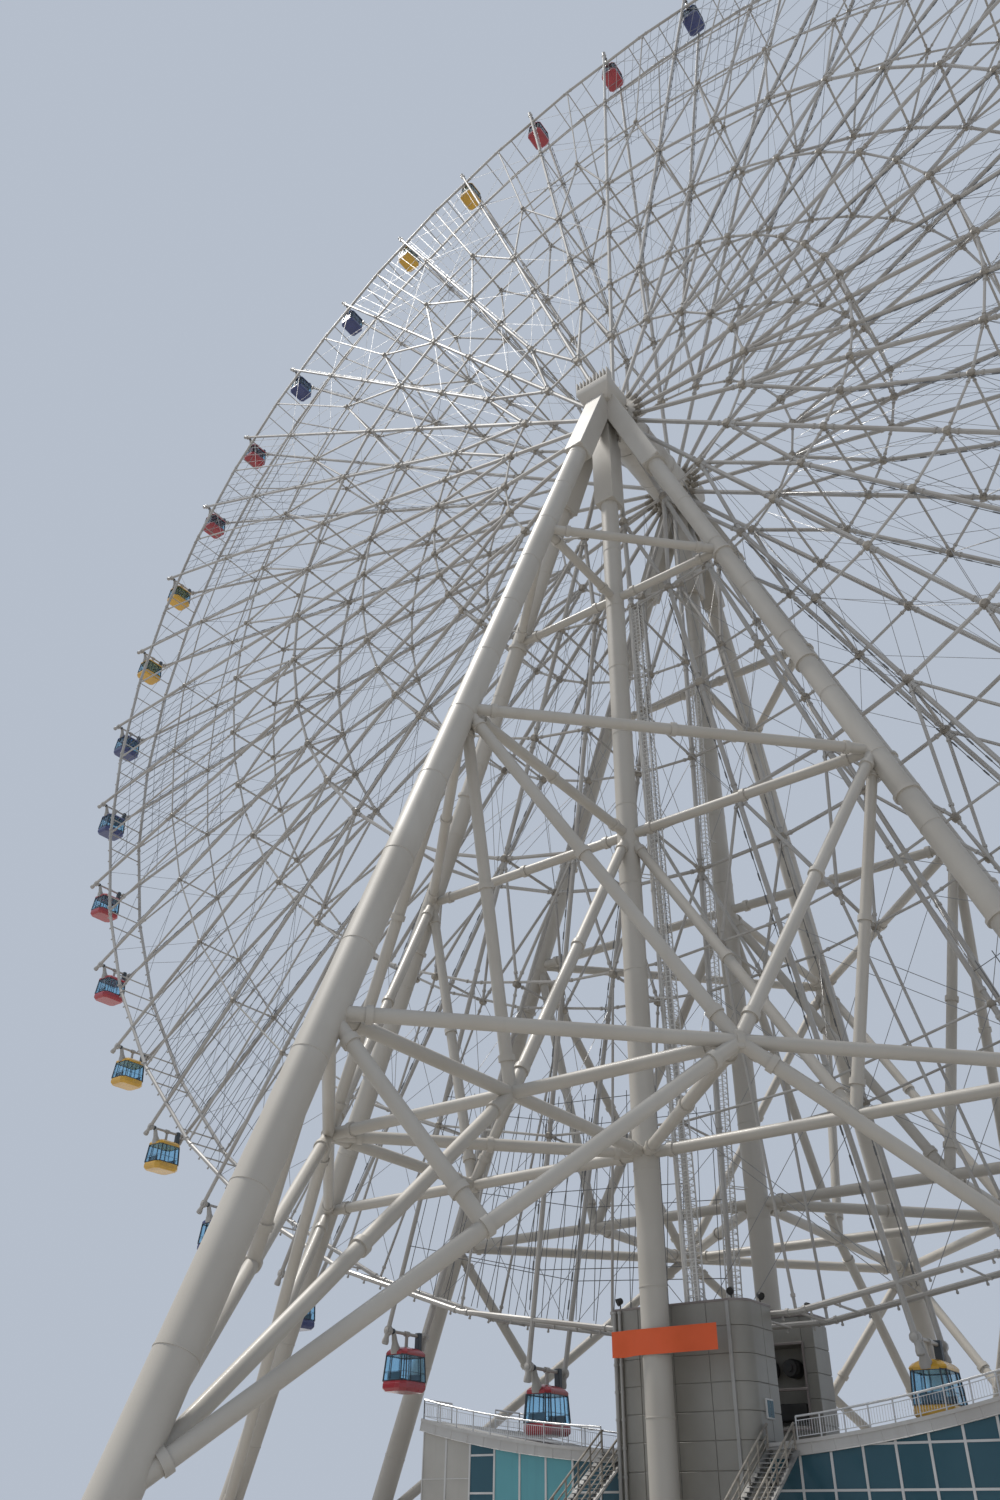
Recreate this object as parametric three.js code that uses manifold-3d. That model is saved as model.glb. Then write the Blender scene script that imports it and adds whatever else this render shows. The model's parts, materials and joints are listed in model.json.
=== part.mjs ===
// A giant observation wheel at 1:10, in millimetres. The origin is on the ground under the hub,
// X runs in the plane of the wheel, Y along the axle (the near side is -Y) and Z is up.
import * as THREE from 'three';
import { mergeVertices } from 'three/addons/utils/BufferGeometryUtils.js';
import Module from 'manifold-3d';

const wasm = await Module();
wasm.setup();

// Running gap between pieces that touch
const GAP = 0.3;

// Wheel
const AXLE_Z = 8400;
const CABIN_COUNT = 40;
const PIVOT_RADIUS = 7550;
const RING_RADIUS = 7320;
const TIP_RADIUS = 7640;
const HUB_HALF = 520;
const RIM_HALF = 200;
const FLANGE_RADIUS = 190;
const ARM_SIZE = 36;
const SPOKE_SIZE = 46;
const BRACE_SIZE = 28;
const RIM_TUBE = 26;
const RUNG_SIZE = 22;
const INNER_RING_RADIUS = 1270;
const FORK_RADIUS = 2190;
const MIDDLE_RING_RADIUS = 4220;

// Hub drum and its shaft
const DRUM_RADIUS = 172;
const SHAFT_RADIUS = 60;
const SHAFT_HALF = 760;
const FLANGE_THICKNESS = 50;
const HUB_SIDES = 20;

// Cabins, measured from their pivot
const CABIN_RADIUS = 134;
const CABIN_ROOF_RADIUS = 113;
const CABIN_TOP = -80;
const CABIN_BOTTOM = -345;
const HANGER_RADIUS = 15;
const SHAFT_REACH = 170.6;
const CABIN_COLOURS = [0x9c2f33, 0x27406e, 0xd0a41c];
const FIRST_PAIR = 21;
const COLOUR_SKIP = 12;

// Towers: a plane frame of two legs and a post, and a raker that leans outward
const TOWER_Y = 690;
const LEG_MEET_Z = 8550;
const FOOT_SPREAD = 3200;
const RAKER_FOOT_Y = 3970;
const LEVEL_A = 6100;
const LEVEL_B = 3980;
const LEVEL_C = 1895;
const LEG_TOP_Z = 7350;
const POST_HEAD_Z = 7140;
const HEAD_END_Z = 8440;
const BORE_START = 500;
const LEG_RADIUS = { top: 64, foot: 72 };
const RAKER_RADIUS = { top: 75, foot: 82 };
const POST_RADIUS = { top: 70, foot: 75 };
const HEAD_BOX = 168;
const HEAD_BLOCK = { x: 326, y: 325, centre: 722, bottom: 8290, top: 8570 };
const BRACE_RADIUS = 32;
const COLLAR = { radius: 22, height: 150 };
const BASE_PLATE = { size: 300, height: 40 };
const BRACE_FOOT = 160;
const BELOW_GROUND = 200;
const FAR_OUT = 9000;

// Boarding station
const DECK = { radius: 7925, thickness: 60, halfX: 1750, halfY: 485 };
const DECK_STEPS = 14;
const NEAR_HOUSE = { left: -325, right: 458, front: 575, back: 265, top: 1135, corner: 90 };
const FAR_HOUSE = { left: -330, right: 402, front: 575, back: 380, top: 1185, corner: 0 };
const HALL = { wall: 30, setBack: 12, endInset: 10, besideHouse: 8, high: 900 };
const WINDOW = { sill: 60, head: 210, bays: 4, pier: 26 };
const DOOR = { half: 90, head: 230 };
const STAIR = { width: 150, steps: 24, run: 720, besideHouse: 12, throat: 3, footRun: 2.2 };

const Y_AXIS = new THREE.Vector3(0, 1, 0);
const Z_AXIS = new THREE.Vector3(0, 0, 1);
const v = (x, y, z) => new THREE.Vector3(x, y, z);

// Closed mesh to solid, and solid back to a mesh geometry
function solidOf(geometry) {
  const bare = geometry.clone();
  bare.deleteAttribute('normal');
  bare.deleteAttribute('uv');
  const merged = mergeVertices(bare, 1e-4);
  return new wasm.Manifold(new wasm.Mesh({
    numProp: 3,
    vertProperties: new Float32Array(merged.attributes.position.array),
    triVerts: new Uint32Array(merged.index.array),
  }));
}

function geometryOf(solid) {
  const mesh = solid.getMesh();
  const geometry = new THREE.BufferGeometry();
  geometry.setAttribute('position', new THREE.BufferAttribute(mesh.vertProperties, 3));
  geometry.setIndex(new THREE.BufferAttribute(mesh.triVerts, 1));
  geometry.computeVertexNormals();
  return geometry;
}

function joined(solids) {
  return solids.reduce((whole, piece) => whole.add(piece));
}

function cut(solid, tools) {
  return tools.reduce((rest, tool) => rest.subtract(tool), solid);
}

// Straight bar from p to q: few sides, a radius at each end, and one flat facing the axle's direction
function bar(p, q, radius, sides = 4, endRadius = radius) {
  const along = q.clone().sub(p);
  const geometry = new THREE.CylinderGeometry(endRadius, radius, along.length(), sides);
  geometry.rotateY(Math.PI / sides);
  const axis = along.clone().normalize();
  const reference = Math.abs(axis.y) > 0.9 ? Z_AXIS : Y_AXIS;
  const flank = new THREE.Vector3().crossVectors(axis, reference).normalize();
  const facing = new THREE.Vector3().crossVectors(flank, axis);
  geometry.applyMatrix4(new THREE.Matrix4().makeBasis(flank, axis, facing));
  geometry.translate(...p.clone().add(q).multiplyScalar(0.5).toArray());
  return solidOf(geometry);
}

function block(low, high) {
  const size = high.clone().sub(low);
  const geometry = new THREE.BoxGeometry(size.x, size.y, size.z);
  geometry.translate(...low.clone().add(high).multiplyScalar(0.5).toArray());
  return solidOf(geometry);
}

// Square-section ring about the axle
function ring(radius, y, size, segments, start = 0) {
  const h = size / 2;
  const profile = [[-h, -h], [h, -h], [h, h], [-h, h], [-h, -h]];
  const points = profile.map(([r, a]) => new THREE.Vector2(radius + r, y + a));
  return solidOf(new THREE.LatheGeometry(points, segments, start));
}

const material = (color, roughness, metalness) =>
  new THREE.MeshStandardMaterial({ color, roughness, metalness });

const model = new THREE.Group();
const wheel = new THREE.Group();
wheel.position.set(0, 0, AXLE_Z);
model.add(wheel);

function addMesh(parent, name, solid, finish) {
  const mesh = new THREE.Mesh(geometryOf(solid), finish);
  mesh.name = name;
  parent.add(mesh);
  return mesh;
}

const PITCH = 360 / CABIN_COUNT;
const HALF_TURN = THREE.MathUtils.degToRad(PITCH / 2);

function onWheel(radius, degrees, y) {
  const a = THREE.MathUtils.degToRad(degrees);
  return v(radius * Math.sin(a), y, radius * Math.cos(a));
}

// The wheel: its two faces lean together from the hub flanges to the rim
function faceY(radius) {
  const t = (radius - FLANGE_RADIUS) / (RING_RADIUS - FLANGE_RADIUS);
  return HUB_HALF + (RIM_HALF - HUB_HALF) * t;
}

// Drum between two flanges, with a shaft end on each side
function hubDrum() {
  const inner = HUB_HALF - FLANGE_THICKNESS / 2;
  const outer = HUB_HALF + FLANGE_THICKNESS / 2;
  const half = [
    [SHAFT_RADIUS, SHAFT_HALF], [SHAFT_RADIUS, outer],
    [FLANGE_RADIUS, outer], [FLANGE_RADIUS, inner], [DRUM_RADIUS, inner - 60],
  ];
  const lower = half.map(([r, y]) => new THREE.Vector2(r, -y));
  const upper = half.map(([r, y]) => new THREE.Vector2(r, y)).reverse();
  const ends = [new THREE.Vector2(0, -SHAFT_HALF), new THREE.Vector2(0, SHAFT_HALF)];
  const profile = [ends[0], ...lower, ...upper, ends[1]];
  return solidOf(new THREE.LatheGeometry(profile, HUB_SIDES));
}

function flangeSpace(side) {
  const y = side * HUB_HALF;
  const r = FLANGE_RADIUS + GAP;
  const h = FLANGE_THICKNESS;
  const points = [[0, -h], [r, -h], [r, h], [0, h]].map(([x, a]) => new THREE.Vector2(x, y + a));
  return solidOf(new THREE.LatheGeometry(points, HUB_SIDES));
}

// One face: twenty spokes from the hub, forked to forty arms, on an inner, a middle and a rim ring
function wheelFace(side) {
  const at = (radius, k) => onWheel(radius, k * PITCH, side * faceY(radius));
  const pieces = [];
  for (let k = 0; k < CABIN_COUNT; k += 1) {
    const main = k % 2 === 0;
    const start = main ? FLANGE_RADIUS - 30 : FORK_RADIUS;
    const inner = main ? SPOKE_SIZE : ARM_SIZE;
    const tip = at(TIP_RADIUS, k);
    pieces.push(bar(at(start, k), tip, inner * Math.SQRT1_2, 4, ARM_SIZE * Math.SQRT1_2));
    if (main) {
      const knot = at(INNER_RING_RADIUS, k);
      pieces.push(bar(knot, at(FORK_RADIUS, k - 1), BRACE_SIZE * Math.SQRT1_2));
      pieces.push(bar(knot, at(FORK_RADIUS, k + 1), BRACE_SIZE * Math.SQRT1_2));
    }
    // The rungs between the two rims belong to the near and the far face in turn
    const mine = main === (side < 0);
    if (mine) {
      const bay = (k + 0.5) * PITCH;
      const reach = RIM_HALF - RIM_TUBE / 2 - GAP;
      const near = onWheel(RING_RADIUS, bay, side * RIM_HALF);
      const far = onWheel(RING_RADIUS, bay, -side * reach);
      pieces.push(bar(near, far, RUNG_SIZE * Math.SQRT1_2));
    }
  }
  pieces.push(ring(INNER_RING_RADIUS, side * faceY(INNER_RING_RADIUS), BRACE_SIZE, CABIN_COUNT / 2));
  pieces.push(ring(MIDDLE_RING_RADIUS, side * faceY(MIDDLE_RING_RADIUS), ARM_SIZE, CABIN_COUNT));
  pieces.push(ring(RING_RADIUS, side * RIM_HALF, RIM_TUBE, CABIN_COUNT, HALF_TURN));
  return cut(joined(pieces), [flangeSpace(side)]);
}

const steel = material(0xd6d3cb, 0.5, 0.2);
addMesh(wheel, 'hub_drum', hubDrum(), material(0xb9b9b6, 0.5, 0.3));
addMesh(wheel, 'near_face', wheelFace(-1), steel.clone());
addMesh(wheel, 'far_face', wheelFace(1), steel.clone());

// One cabin: an eight-sided body with a low roof, a hanger post and its cross shaft
function cabin() {
  const profile = [
    [0, CABIN_BOTTOM], [CABIN_RADIUS * 0.85, CABIN_BOTTOM], [CABIN_RADIUS, CABIN_BOTTOM + 34],
    [CABIN_ROOF_RADIUS, CABIN_TOP - 30], [0, CABIN_TOP],
  ];
  const points = profile.map(([r, z]) => new THREE.Vector2(r, z));
  const shell = new THREE.LatheGeometry(points, 8, Math.PI / 8);
  shell.rotateX(Math.PI / 2);
  const shaft = bar(v(0, -SHAFT_REACH, 0), v(0, SHAFT_REACH, 0), HANGER_RADIUS);
  const post = bar(v(0, 0, CABIN_TOP - 30), v(0, 0, 0), HANGER_RADIUS * 1.6);
  return joined([solidOf(shell), shaft, post]);
}

// Neighbours share a colour in pairs; twenty pairs don't divide by three, so one colour is skipped once
function cabinColour(k) {
  const pair = Math.floor(((k + CABIN_COUNT - FIRST_PAIR) % CABIN_COUNT) / 2);
  const skipped = pair < COLOUR_SKIP ? 0 : 1;
  return CABIN_COLOURS[(pair + skipped) % CABIN_COLOURS.length];
}

const cabinGeometry = geometryOf(cabin());
for (let k = 0; k < CABIN_COUNT; k += 1) {
  const mesh = new THREE.Mesh(cabinGeometry, material(cabinColour(k), 0.4, 0.1));
  mesh.name = `cabin_${String(k + 1).padStart(2, '0')}`;
  mesh.position.copy(onWheel(PIVOT_RADIUS, k * PITCH, 0));
  wheel.add(mesh);
}

// Towers: foot and head points of the four members of one tower
function members(side) {
  const meet = v(0, side * TOWER_Y, LEG_MEET_Z);
  return {
    left: { meet, foot: v(-FOOT_SPREAD, side * TOWER_Y, 0) },
    right: { meet, foot: v(FOOT_SPREAD, side * TOWER_Y, 0) },
    raker: { meet, foot: v(0, side * RAKER_FOOT_Y, 0) },
    post: { meet, foot: v(0, side * TOWER_Y, 0) },
  };
}

function atLevel(member, z) {
  return member.foot.clone().lerp(member.meet, z / LEG_MEET_Z);
}

function radiusAt(size, z, topZ) {
  return size.foot + (size.top - size.foot) * (z / topZ);
}

// A round leg from the ground to its box head, on a base plate
function leg(member, size, grow = 0) {
  const top = atLevel(member, LEG_TOP_Z - GAP);
  const shaft = bar(atLevel(member, -BELOW_GROUND), top, size.foot + grow, 8, size.top + grow);
  const below = block(v(-FAR_OUT, -FAR_OUT, -BELOW_GROUND * 3), v(FAR_OUT, FAR_OUT, 0));
  const half = BASE_PLATE.size / 2 + grow;
  const plate = block(
    v(member.foot.x - half, member.foot.y - half, 0),
    v(member.foot.x + half, member.foot.y + half, BASE_PLATE.height + grow),
  );
  return joined([shaft, plate]).subtract(below);
}

function collar(member, z, size) {
  const direction = member.meet.clone().sub(member.foot).normalize();
  const centre = atLevel(member, z);
  const half = direction.multiplyScalar(COLLAR.height / 2);
  const radius = radiusAt(size, z, LEG_TOP_Z) + COLLAR.radius;
  return bar(centre.clone().sub(half), centre.clone().add(half), radius, 8, radius);
}

function tower(side, name) {
  const m = members(side);
  const sizes = { left: LEG_RADIUS, right: LEG_RADIUS, raker: RAKER_RADIUS, post: POST_RADIUS };
  const outer = ['left', 'right', 'raker'];
  const brace = (p, q) => bar(p, q, BRACE_RADIUS);

  // Spaces that the neighbouring pieces leave clear for the legs and the post
  const legSpace = outer.map((key) => leg(m[key], sizes[key], GAP));
  const postTube = (grow) => bar(m.post.foot, v(0, side * TOWER_Y, POST_HEAD_Z + 10),
    POST_RADIUS.foot + grow, 8, POST_RADIUS.top + grow);

  // Post, box heads of the legs, bearing block and the top ring of braces
  const heads = outer.map((key) => bar(atLevel(m[key], LEG_TOP_Z), atLevel(m[key], HEAD_END_Z),
    HEAD_BOX * Math.SQRT1_2));
  const postHead = block(
    v(-HEAD_BOX / 2, side * TOWER_Y - HEAD_BOX / 2, POST_HEAD_Z),
    v(HEAD_BOX / 2, side * TOWER_Y + HEAD_BOX / 2, HEAD_END_Z),
  );
  const bearing = block(
    v(-HEAD_BLOCK.x / 2, side * HEAD_BLOCK.centre - HEAD_BLOCK.y / 2, HEAD_BLOCK.bottom),
    v(HEAD_BLOCK.x / 2, side * HEAD_BLOCK.centre + HEAD_BLOCK.y / 2, HEAD_BLOCK.top),
  );
  const boreRadius = (SHAFT_RADIUS + GAP) / Math.cos(Math.PI / HUB_SIDES);
  const bore = bar(v(0, side * BORE_START, AXLE_Z), v(0, side * (SHAFT_HALF + 5), AXLE_Z),
    boreRadius, HUB_SIDES);
  const a = {};
  Object.keys(m).forEach((key) => { a[key] = atLevel(m[key], LEVEL_A); });
  const topRing = [
    brace(a.raker, a.right), brace(a.raker, a.left), brace(a.raker, a.post),
    brace(a.left, a.post), brace(a.post, a.right),
    ...outer.map((key) => collar(m[key], LEVEL_A, sizes[key])),
  ];
  const postWhole = joined([postTube(0), postHead, bearing, ...heads, ...topRing]);
  addMesh(model, `${name}_post`, cut(postWhole, [bore, ...legSpace]), steel.clone());
  addMesh(model, `${name}_left_leg`, leg(m.left, LEG_RADIUS), steel.clone());
  addMesh(model, `${name}_right_leg`, leg(m.right, LEG_RADIUS), steel.clone());
  addMesh(model, `${name}_raker`, leg(m.raker, RAKER_RADIUS), steel.clone());

  // Middle and lower rings, the diagonals between them and down to the feet
  const b = {};
  const c = {};
  Object.keys(m).forEach((key) => {
    b[key] = atLevel(m[key], LEVEL_B);
    c[key] = atLevel(m[key], LEVEL_C);
  });
  const mid = (p, q) => p.clone().add(q).multiplyScalar(0.5);
  const mids = {
    rightOut: mid(c.raker, c.right),
    leftOut: mid(c.raker, c.left),
    centre: mid(c.raker, c.post),
    leftIn: mid(c.left, c.post),
    rightIn: mid(c.post, c.right),
  };
  const low = (key) => atLevel(m[key], BRACE_FOOT);
  const pairs = [
    [b.raker, b.right], [b.raker, b.left], [b.raker, b.post], [b.left, b.post], [b.post, b.right],
    [c.raker, c.right], [c.raker, c.left], [c.raker, c.post], [c.left, c.post], [c.post, c.right],
    [mids.rightOut, mids.leftOut], [mids.rightOut, mids.rightIn], [mids.leftOut, mids.leftIn],
    [b.raker, mids.rightOut], [b.raker, mids.leftOut], [b.raker, mids.centre],
    [b.right, mids.rightOut], [b.right, mids.rightIn], [b.left, mids.leftOut], [b.left, mids.leftIn],
    [b.post, mids.centre], [b.post, mids.leftIn], [b.post, mids.rightIn],
    [mids.rightOut, c.post], [mids.leftOut, c.post], [mids.centre, low('raker')],
    [mids.rightOut, low('raker')], [mids.rightOut, low('right')],
    [mids.leftOut, low('raker')], [mids.leftOut, low('left')],
    [c.raker, mid(mids.rightOut, low('raker'))], [c.raker, mid(mids.leftOut, low('raker'))],
    [c.right, mid(mids.rightOut, low('right'))], [c.left, mid(mids.leftOut, low('left'))],
  ];
  const collars = ['left', 'right', 'raker', 'post'].flatMap((key) => [
    collar(m[key], LEVEL_B, sizes[key]), collar(m[key], LEVEL_C, sizes[key]),
  ]);
  const bracing = joined([...pairs.map(([p, q]) => brace(p, q)), ...collars]);
  addMesh(model, `${name}_bracing`, cut(bracing, [...legSpace, postTube(GAP)]), steel.clone());
}

tower(-1, 'near');
tower(1, 'far');

// Boarding station: a machine house stands on each side of the wheel
const HOUSE_SIDES = { near: -1, far: 1 };

// A house block, grown on every side where it is the space kept clear for it
function houseBlock(house, side, grow = 0, height = house.top) {
  const y = side * house.back - side * grow;
  const front = side * house.front + side * grow;
  const left = house.left - grow;
  const right = house.right + grow;
  const plan = new THREE.Shape();
  plan.moveTo(left, y);
  plan.lineTo(left, front);
  plan.lineTo(right - house.corner, front);
  if (house.corner > 0) {
    const centre = front - side * house.corner;
    plan.absarc(right - house.corner, centre, house.corner, side * Math.PI / 2, 0, side > 0);
  } else {
    plan.lineTo(right, front);
  }
  plan.lineTo(right, y);
  plan.closePath();
  const depth = height + grow;
  return solidOf(new THREE.ExtrudeGeometry(plan, { depth, bevelEnabled: false, curveSegments: 4 }));
}

// Arc band under the wheel, between two radii about the axle
function arcBand(inner, outer, y1, y2, halfX) {
  const shape = new THREE.Shape();
  const edge = (radius, t) => {
    const x = -halfX + 2 * halfX * t;
    return [x, AXLE_Z - Math.sqrt(radius * radius - x * x)];
  };
  for (let i = 0; i <= DECK_STEPS; i += 1) {
    const [x, z] = edge(inner, i / DECK_STEPS);
    if (i === 0) shape.moveTo(x, z);
    else shape.lineTo(x, z);
  }
  for (let i = DECK_STEPS; i >= 0; i -= 1) shape.lineTo(...edge(outer, i / DECK_STEPS));
  const geometry = new THREE.ExtrudeGeometry(shape, { depth: y2 - y1, bevelEnabled: false });
  geometry.rotateX(Math.PI / 2);
  geometry.translate(0, y2, 0);
  return solidOf(geometry);
}

const deckUnder = DECK.radius + DECK.thickness;

// The deck follows the wheel's circle and passes between the houses
function boardingDeck() {
  const plate = arcBand(DECK.radius, deckUnder, -DECK.halfY, DECK.halfY, DECK.halfX);
  return cut(plate, [
    houseBlock(NEAR_HOUSE, HOUSE_SIDES.near, GAP),
    houseBlock(FAR_HOUSE, HOUSE_SIDES.far, GAP),
  ]);
}

// Hall walls up to the deck, with a row of windows in each long wall and a door in the end
function hall(left, right, doorX) {
  const wall = HALL.wall;
  const outside = DECK.halfY - HALL.setBack;
  const inside = outside - wall;
  const margin = 10;
  const outer = block(v(left, -outside, 0), v(right, outside, HALL.high));
  const room = block(v(left + wall, -inside, -margin), v(right - wall, inside, HALL.high + margin));
  const openings = [];
  const bay = (right - left - 2 * wall) / WINDOW.bays;
  for (let i = 0; i < WINDOW.bays; i += 1) {
    const x1 = left + wall + WINDOW.pier / 2 + bay * i;
    const x2 = x1 + bay - WINDOW.pier;
    openings.push(block(v(x1, -outside - margin, WINDOW.sill), v(x2, -inside + margin, WINDOW.head)));
    openings.push(block(v(x1, inside - margin, WINDOW.sill), v(x2, outside + margin, WINDOW.head)));
  }
  const way = wall + margin;
  openings.push(block(v(doorX - way, -DOOR.half, -margin), v(doorX + way, DOOR.half, DOOR.head)));
  const above = arcBand(deckUnder - HALL.high, deckUnder + GAP, -2 * outside, 2 * outside, DECK.halfX);
  return cut(outer, [room, ...openings, above]);
}

// Flight of steps from the near edge of the deck down towards the viewer, between two x values
function stair(left, right) {
  const top = AXLE_Z - Math.sqrt(DECK.radius ** 2 - left ** 2);
  const rise = top / STAIR.steps;
  const going = STAIR.run / STAIR.steps;
  const shape = new THREE.Shape();
  shape.moveTo(0, top - rise);
  for (let i = 1; i < STAIR.steps; i += 1) {
    shape.lineTo(i * going, top - i * rise);
    if (i < STAIR.steps - 1) shape.lineTo(i * going, top - (i + 1) * rise);
  }
  shape.lineTo((STAIR.steps - 1) * going, 0);
  shape.lineTo((STAIR.steps - STAIR.footRun) * going, 0);
  shape.lineTo(0, top - STAIR.throat * rise);
  shape.closePath();
  const geometry = new THREE.ExtrudeGeometry(shape, { depth: right - left, bevelEnabled: false });
  geometry.applyMatrix4(new THREE.Matrix4().makeBasis(v(0, -1, 0), v(0, 0, 1), v(-1, 0, 0)));
  geometry.translate(right, -DECK.halfY - GAP, 0);
  return solidOf(geometry);
}

const panel = material(0x8b8f92, 0.5, 0.4);
const walls = material(0xcfcdc6, 0.6, 0);
const grating = material(0x9a9a96, 0.6, 0.3);
addMesh(model, 'lift_house', houseBlock(NEAR_HOUSE, HOUSE_SIDES.near), panel);
addMesh(model, 'drive_house', houseBlock(FAR_HOUSE, HOUSE_SIDES.far), panel.clone());
addMesh(model, 'boarding_deck', boardingDeck(), material(0xdcdcd8, 0.5, 0.1));

const hallEnd = DECK.halfX - HALL.endInset;
addMesh(model, 'left_hall', hall(-hallEnd, NEAR_HOUSE.left - HALL.besideHouse, -hallEnd), walls);
addMesh(model, 'right_hall', hall(NEAR_HOUSE.right + HALL.besideHouse, hallEnd, hallEnd), walls.clone());

const leftStair = NEAR_HOUSE.left - STAIR.besideHouse;
const rightStair = NEAR_HOUSE.right + STAIR.besideHouse;
addMesh(model, 'left_stair', stair(leftStair - STAIR.width, leftStair), grating);
addMesh(model, 'right_stair', stair(rightStair, rightStair + STAIR.width), grating.clone());

export default model;
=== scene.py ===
# A giant observation wheel at 1:10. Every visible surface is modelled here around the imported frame,
# in metres and in the frame's own axes: X in the plane of the wheel, Y along the axle, Z up.
import math

import bpy
from mathutils import Matrix, Vector
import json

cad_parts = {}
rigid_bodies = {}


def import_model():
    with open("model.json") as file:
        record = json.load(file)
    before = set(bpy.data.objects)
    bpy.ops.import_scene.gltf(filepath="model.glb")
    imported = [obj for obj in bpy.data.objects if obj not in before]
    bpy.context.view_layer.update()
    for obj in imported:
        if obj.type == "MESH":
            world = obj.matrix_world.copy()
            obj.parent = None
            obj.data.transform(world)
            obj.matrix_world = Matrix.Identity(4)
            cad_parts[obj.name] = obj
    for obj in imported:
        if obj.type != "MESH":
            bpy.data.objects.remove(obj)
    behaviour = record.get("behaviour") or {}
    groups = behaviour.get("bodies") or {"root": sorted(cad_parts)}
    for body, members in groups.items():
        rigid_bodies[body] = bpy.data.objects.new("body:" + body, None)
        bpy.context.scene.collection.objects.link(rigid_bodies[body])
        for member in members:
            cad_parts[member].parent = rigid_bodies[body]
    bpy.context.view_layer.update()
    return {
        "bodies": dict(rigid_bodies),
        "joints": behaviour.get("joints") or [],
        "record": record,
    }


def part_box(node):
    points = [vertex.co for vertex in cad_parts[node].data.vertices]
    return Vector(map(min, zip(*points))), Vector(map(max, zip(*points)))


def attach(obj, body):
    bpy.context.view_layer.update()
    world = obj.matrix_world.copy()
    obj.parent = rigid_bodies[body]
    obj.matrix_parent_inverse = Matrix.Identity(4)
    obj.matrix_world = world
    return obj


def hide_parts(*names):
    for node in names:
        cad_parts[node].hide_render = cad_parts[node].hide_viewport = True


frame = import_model()

X_AXIS = Vector((1, 0, 0))
Y_AXIS = Vector((0, 1, 0))
Z_AXIS = Vector((0, 0, 1))

# The wheel, from the frame's joints
JOINT_AT = {joint["name"]: Vector(joint["pos_m"]) for joint in frame["joints"]}
AXLE = JOINT_AT["wheel_turn"]
CABINS = sorted(name for name in frame["bodies"] if name.startswith("cabin_"))
BAYS = len(CABINS)
PITCH = math.radians(360 / BAYS)
PIVOT_RADIUS = (JOINT_AT["cabin_01_swing"] - AXLE).length

# Radii of the wheel's rings and nodes, and how far its two faces stand from the middle
FLANGE_RADIUS = 0.19
DRUM_RADIUS = 0.190
PLATE_RADIUS = 0.228
HUB_HALF = 0.52
HUB_BOLTS = 20
SHAFT_RADIUS = 0.0595
RIM_HALF = 0.20
KNOT = 1.27
FORK = 2.19
INNER = 3.19
MIDDLE = 4.22
OUTER = 5.19
THIN = 6.22
RIM = 7.32
TIP = 7.63

# Radii of the wheel's tubes and cables. A spoke and an arm narrow from the inner end to the tip.
SPOKE_TUBE = (0.0205, 0.016)
ARM_TUBE = (0.0175, 0.016)
FORK_TUBE = 0.0165
CHORD_TUBE = 0.0115
RING_TUBES = {FORK: 0.0115, INNER: 0.0115, MIDDLE: 0.0155, OUTER: 0.010}
THIN_RING = 0.008
NODE_DRUM = 0.034
ZIGZAG_TUBE = 0.0118
PEAK_TUBE = 0.0095
RIM_TUBE = 0.0165
TIE_TUBES = {FORK: 0.0105, INNER: 0.0095, MIDDLE: 0.0115, THIN: 0.0075}
OUTER_TIE = 0.010
RIM_TIE = 0.0065
CABLE = 0.0026
LONG_CABLE = 0.0022

# Lamps of the wheel: studs on the rim, racks of rods near it and strips along the arms
RIM_STUDS = 7
RACK_RODS = 9
RACK_ROD = 0.0032
RACK_BAR = 0.003
STRIP_ROD = 0.0034
STRIP_LAMPS = 30
STRIP_LAMP = 0.0068
STRIP_LAMP_HALF = 0.028

# Tower frames: where the members stand and meet, their radii at foot and top, and their braces
TOWER_Y = 0.69
MEET_Z = 8.55
FOOT_SPREAD = 3.20
RAKER_FOOT_Y = 3.97
FEET = {
    "left": Vector((-FOOT_SPREAD, -TOWER_Y, 0)),
    "right": Vector((FOOT_SPREAD, -TOWER_Y, 0)),
    "raker": Vector((0, -RAKER_FOOT_Y, 0)),
    "post": Vector((0, -TOWER_Y, 0)),
}
LEG_RADII = {"left": (0.072, 0.064), "right": (0.072, 0.064), "raker": (0.082, 0.075), "post": (0.075, 0.070)}
LEG_FLANGES = (2.75, 3.62, 4.80, 6.05)
SEAM_EVERY = 0.6
TOP_RING_Z = 6.1
MIDDLE_RING_Z = 3.98
LOWER_RING_Z = 1.895
BRACE_FOOT_Z = 0.16
BRACE = 0.033
HEAD_Z = 7.35
HEAD_END_Z = 8.44
BOX_HEAD = 0.168
POST_HEAD_Z = 7.14
POST_BOX = 0.178
POST_NECK = 0.140
BASE_HALF = 0.15
BASE_THICK = 0.03
BLOCK = {"half_x": 0.163, "outer": -0.885, "inner": -0.56, "low": 8.47, "top": MEET_Z}
BEARING_BORE = 0.0605
FINS = 10

# Ladder masts: the foot of each on its house roof, and the step up to the next panel, which leans
MAST_HALF = 0.034
MAST_TUBE = 0.0048
MAST_RUNG = 0.0026
MAST_DIAGONAL = 0.0015
MAST_PANELS = 35
TIED_EVERY = 6
NEAR_MAST = (Vector((0.165, -0.530, 1.13)), Vector((-0.0020, 0, 0.142)))
FAR_MAST = (Vector((-0.150, 0.530, 1.13)), Vector((0.0045, 0, 0.142)))
CABLE_FROM_PANEL = 13

# Cabins, measured from the pivot
CABIN_HALF_X = 0.104
CABIN_HALF_Y = 0.128
CABIN_CORNER = 0.026
CABIN_FOOT = -0.345
CABIN_SILL = -0.285
CABIN_EAVES = -0.130
BENCH_HALF = 0.060

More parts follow.
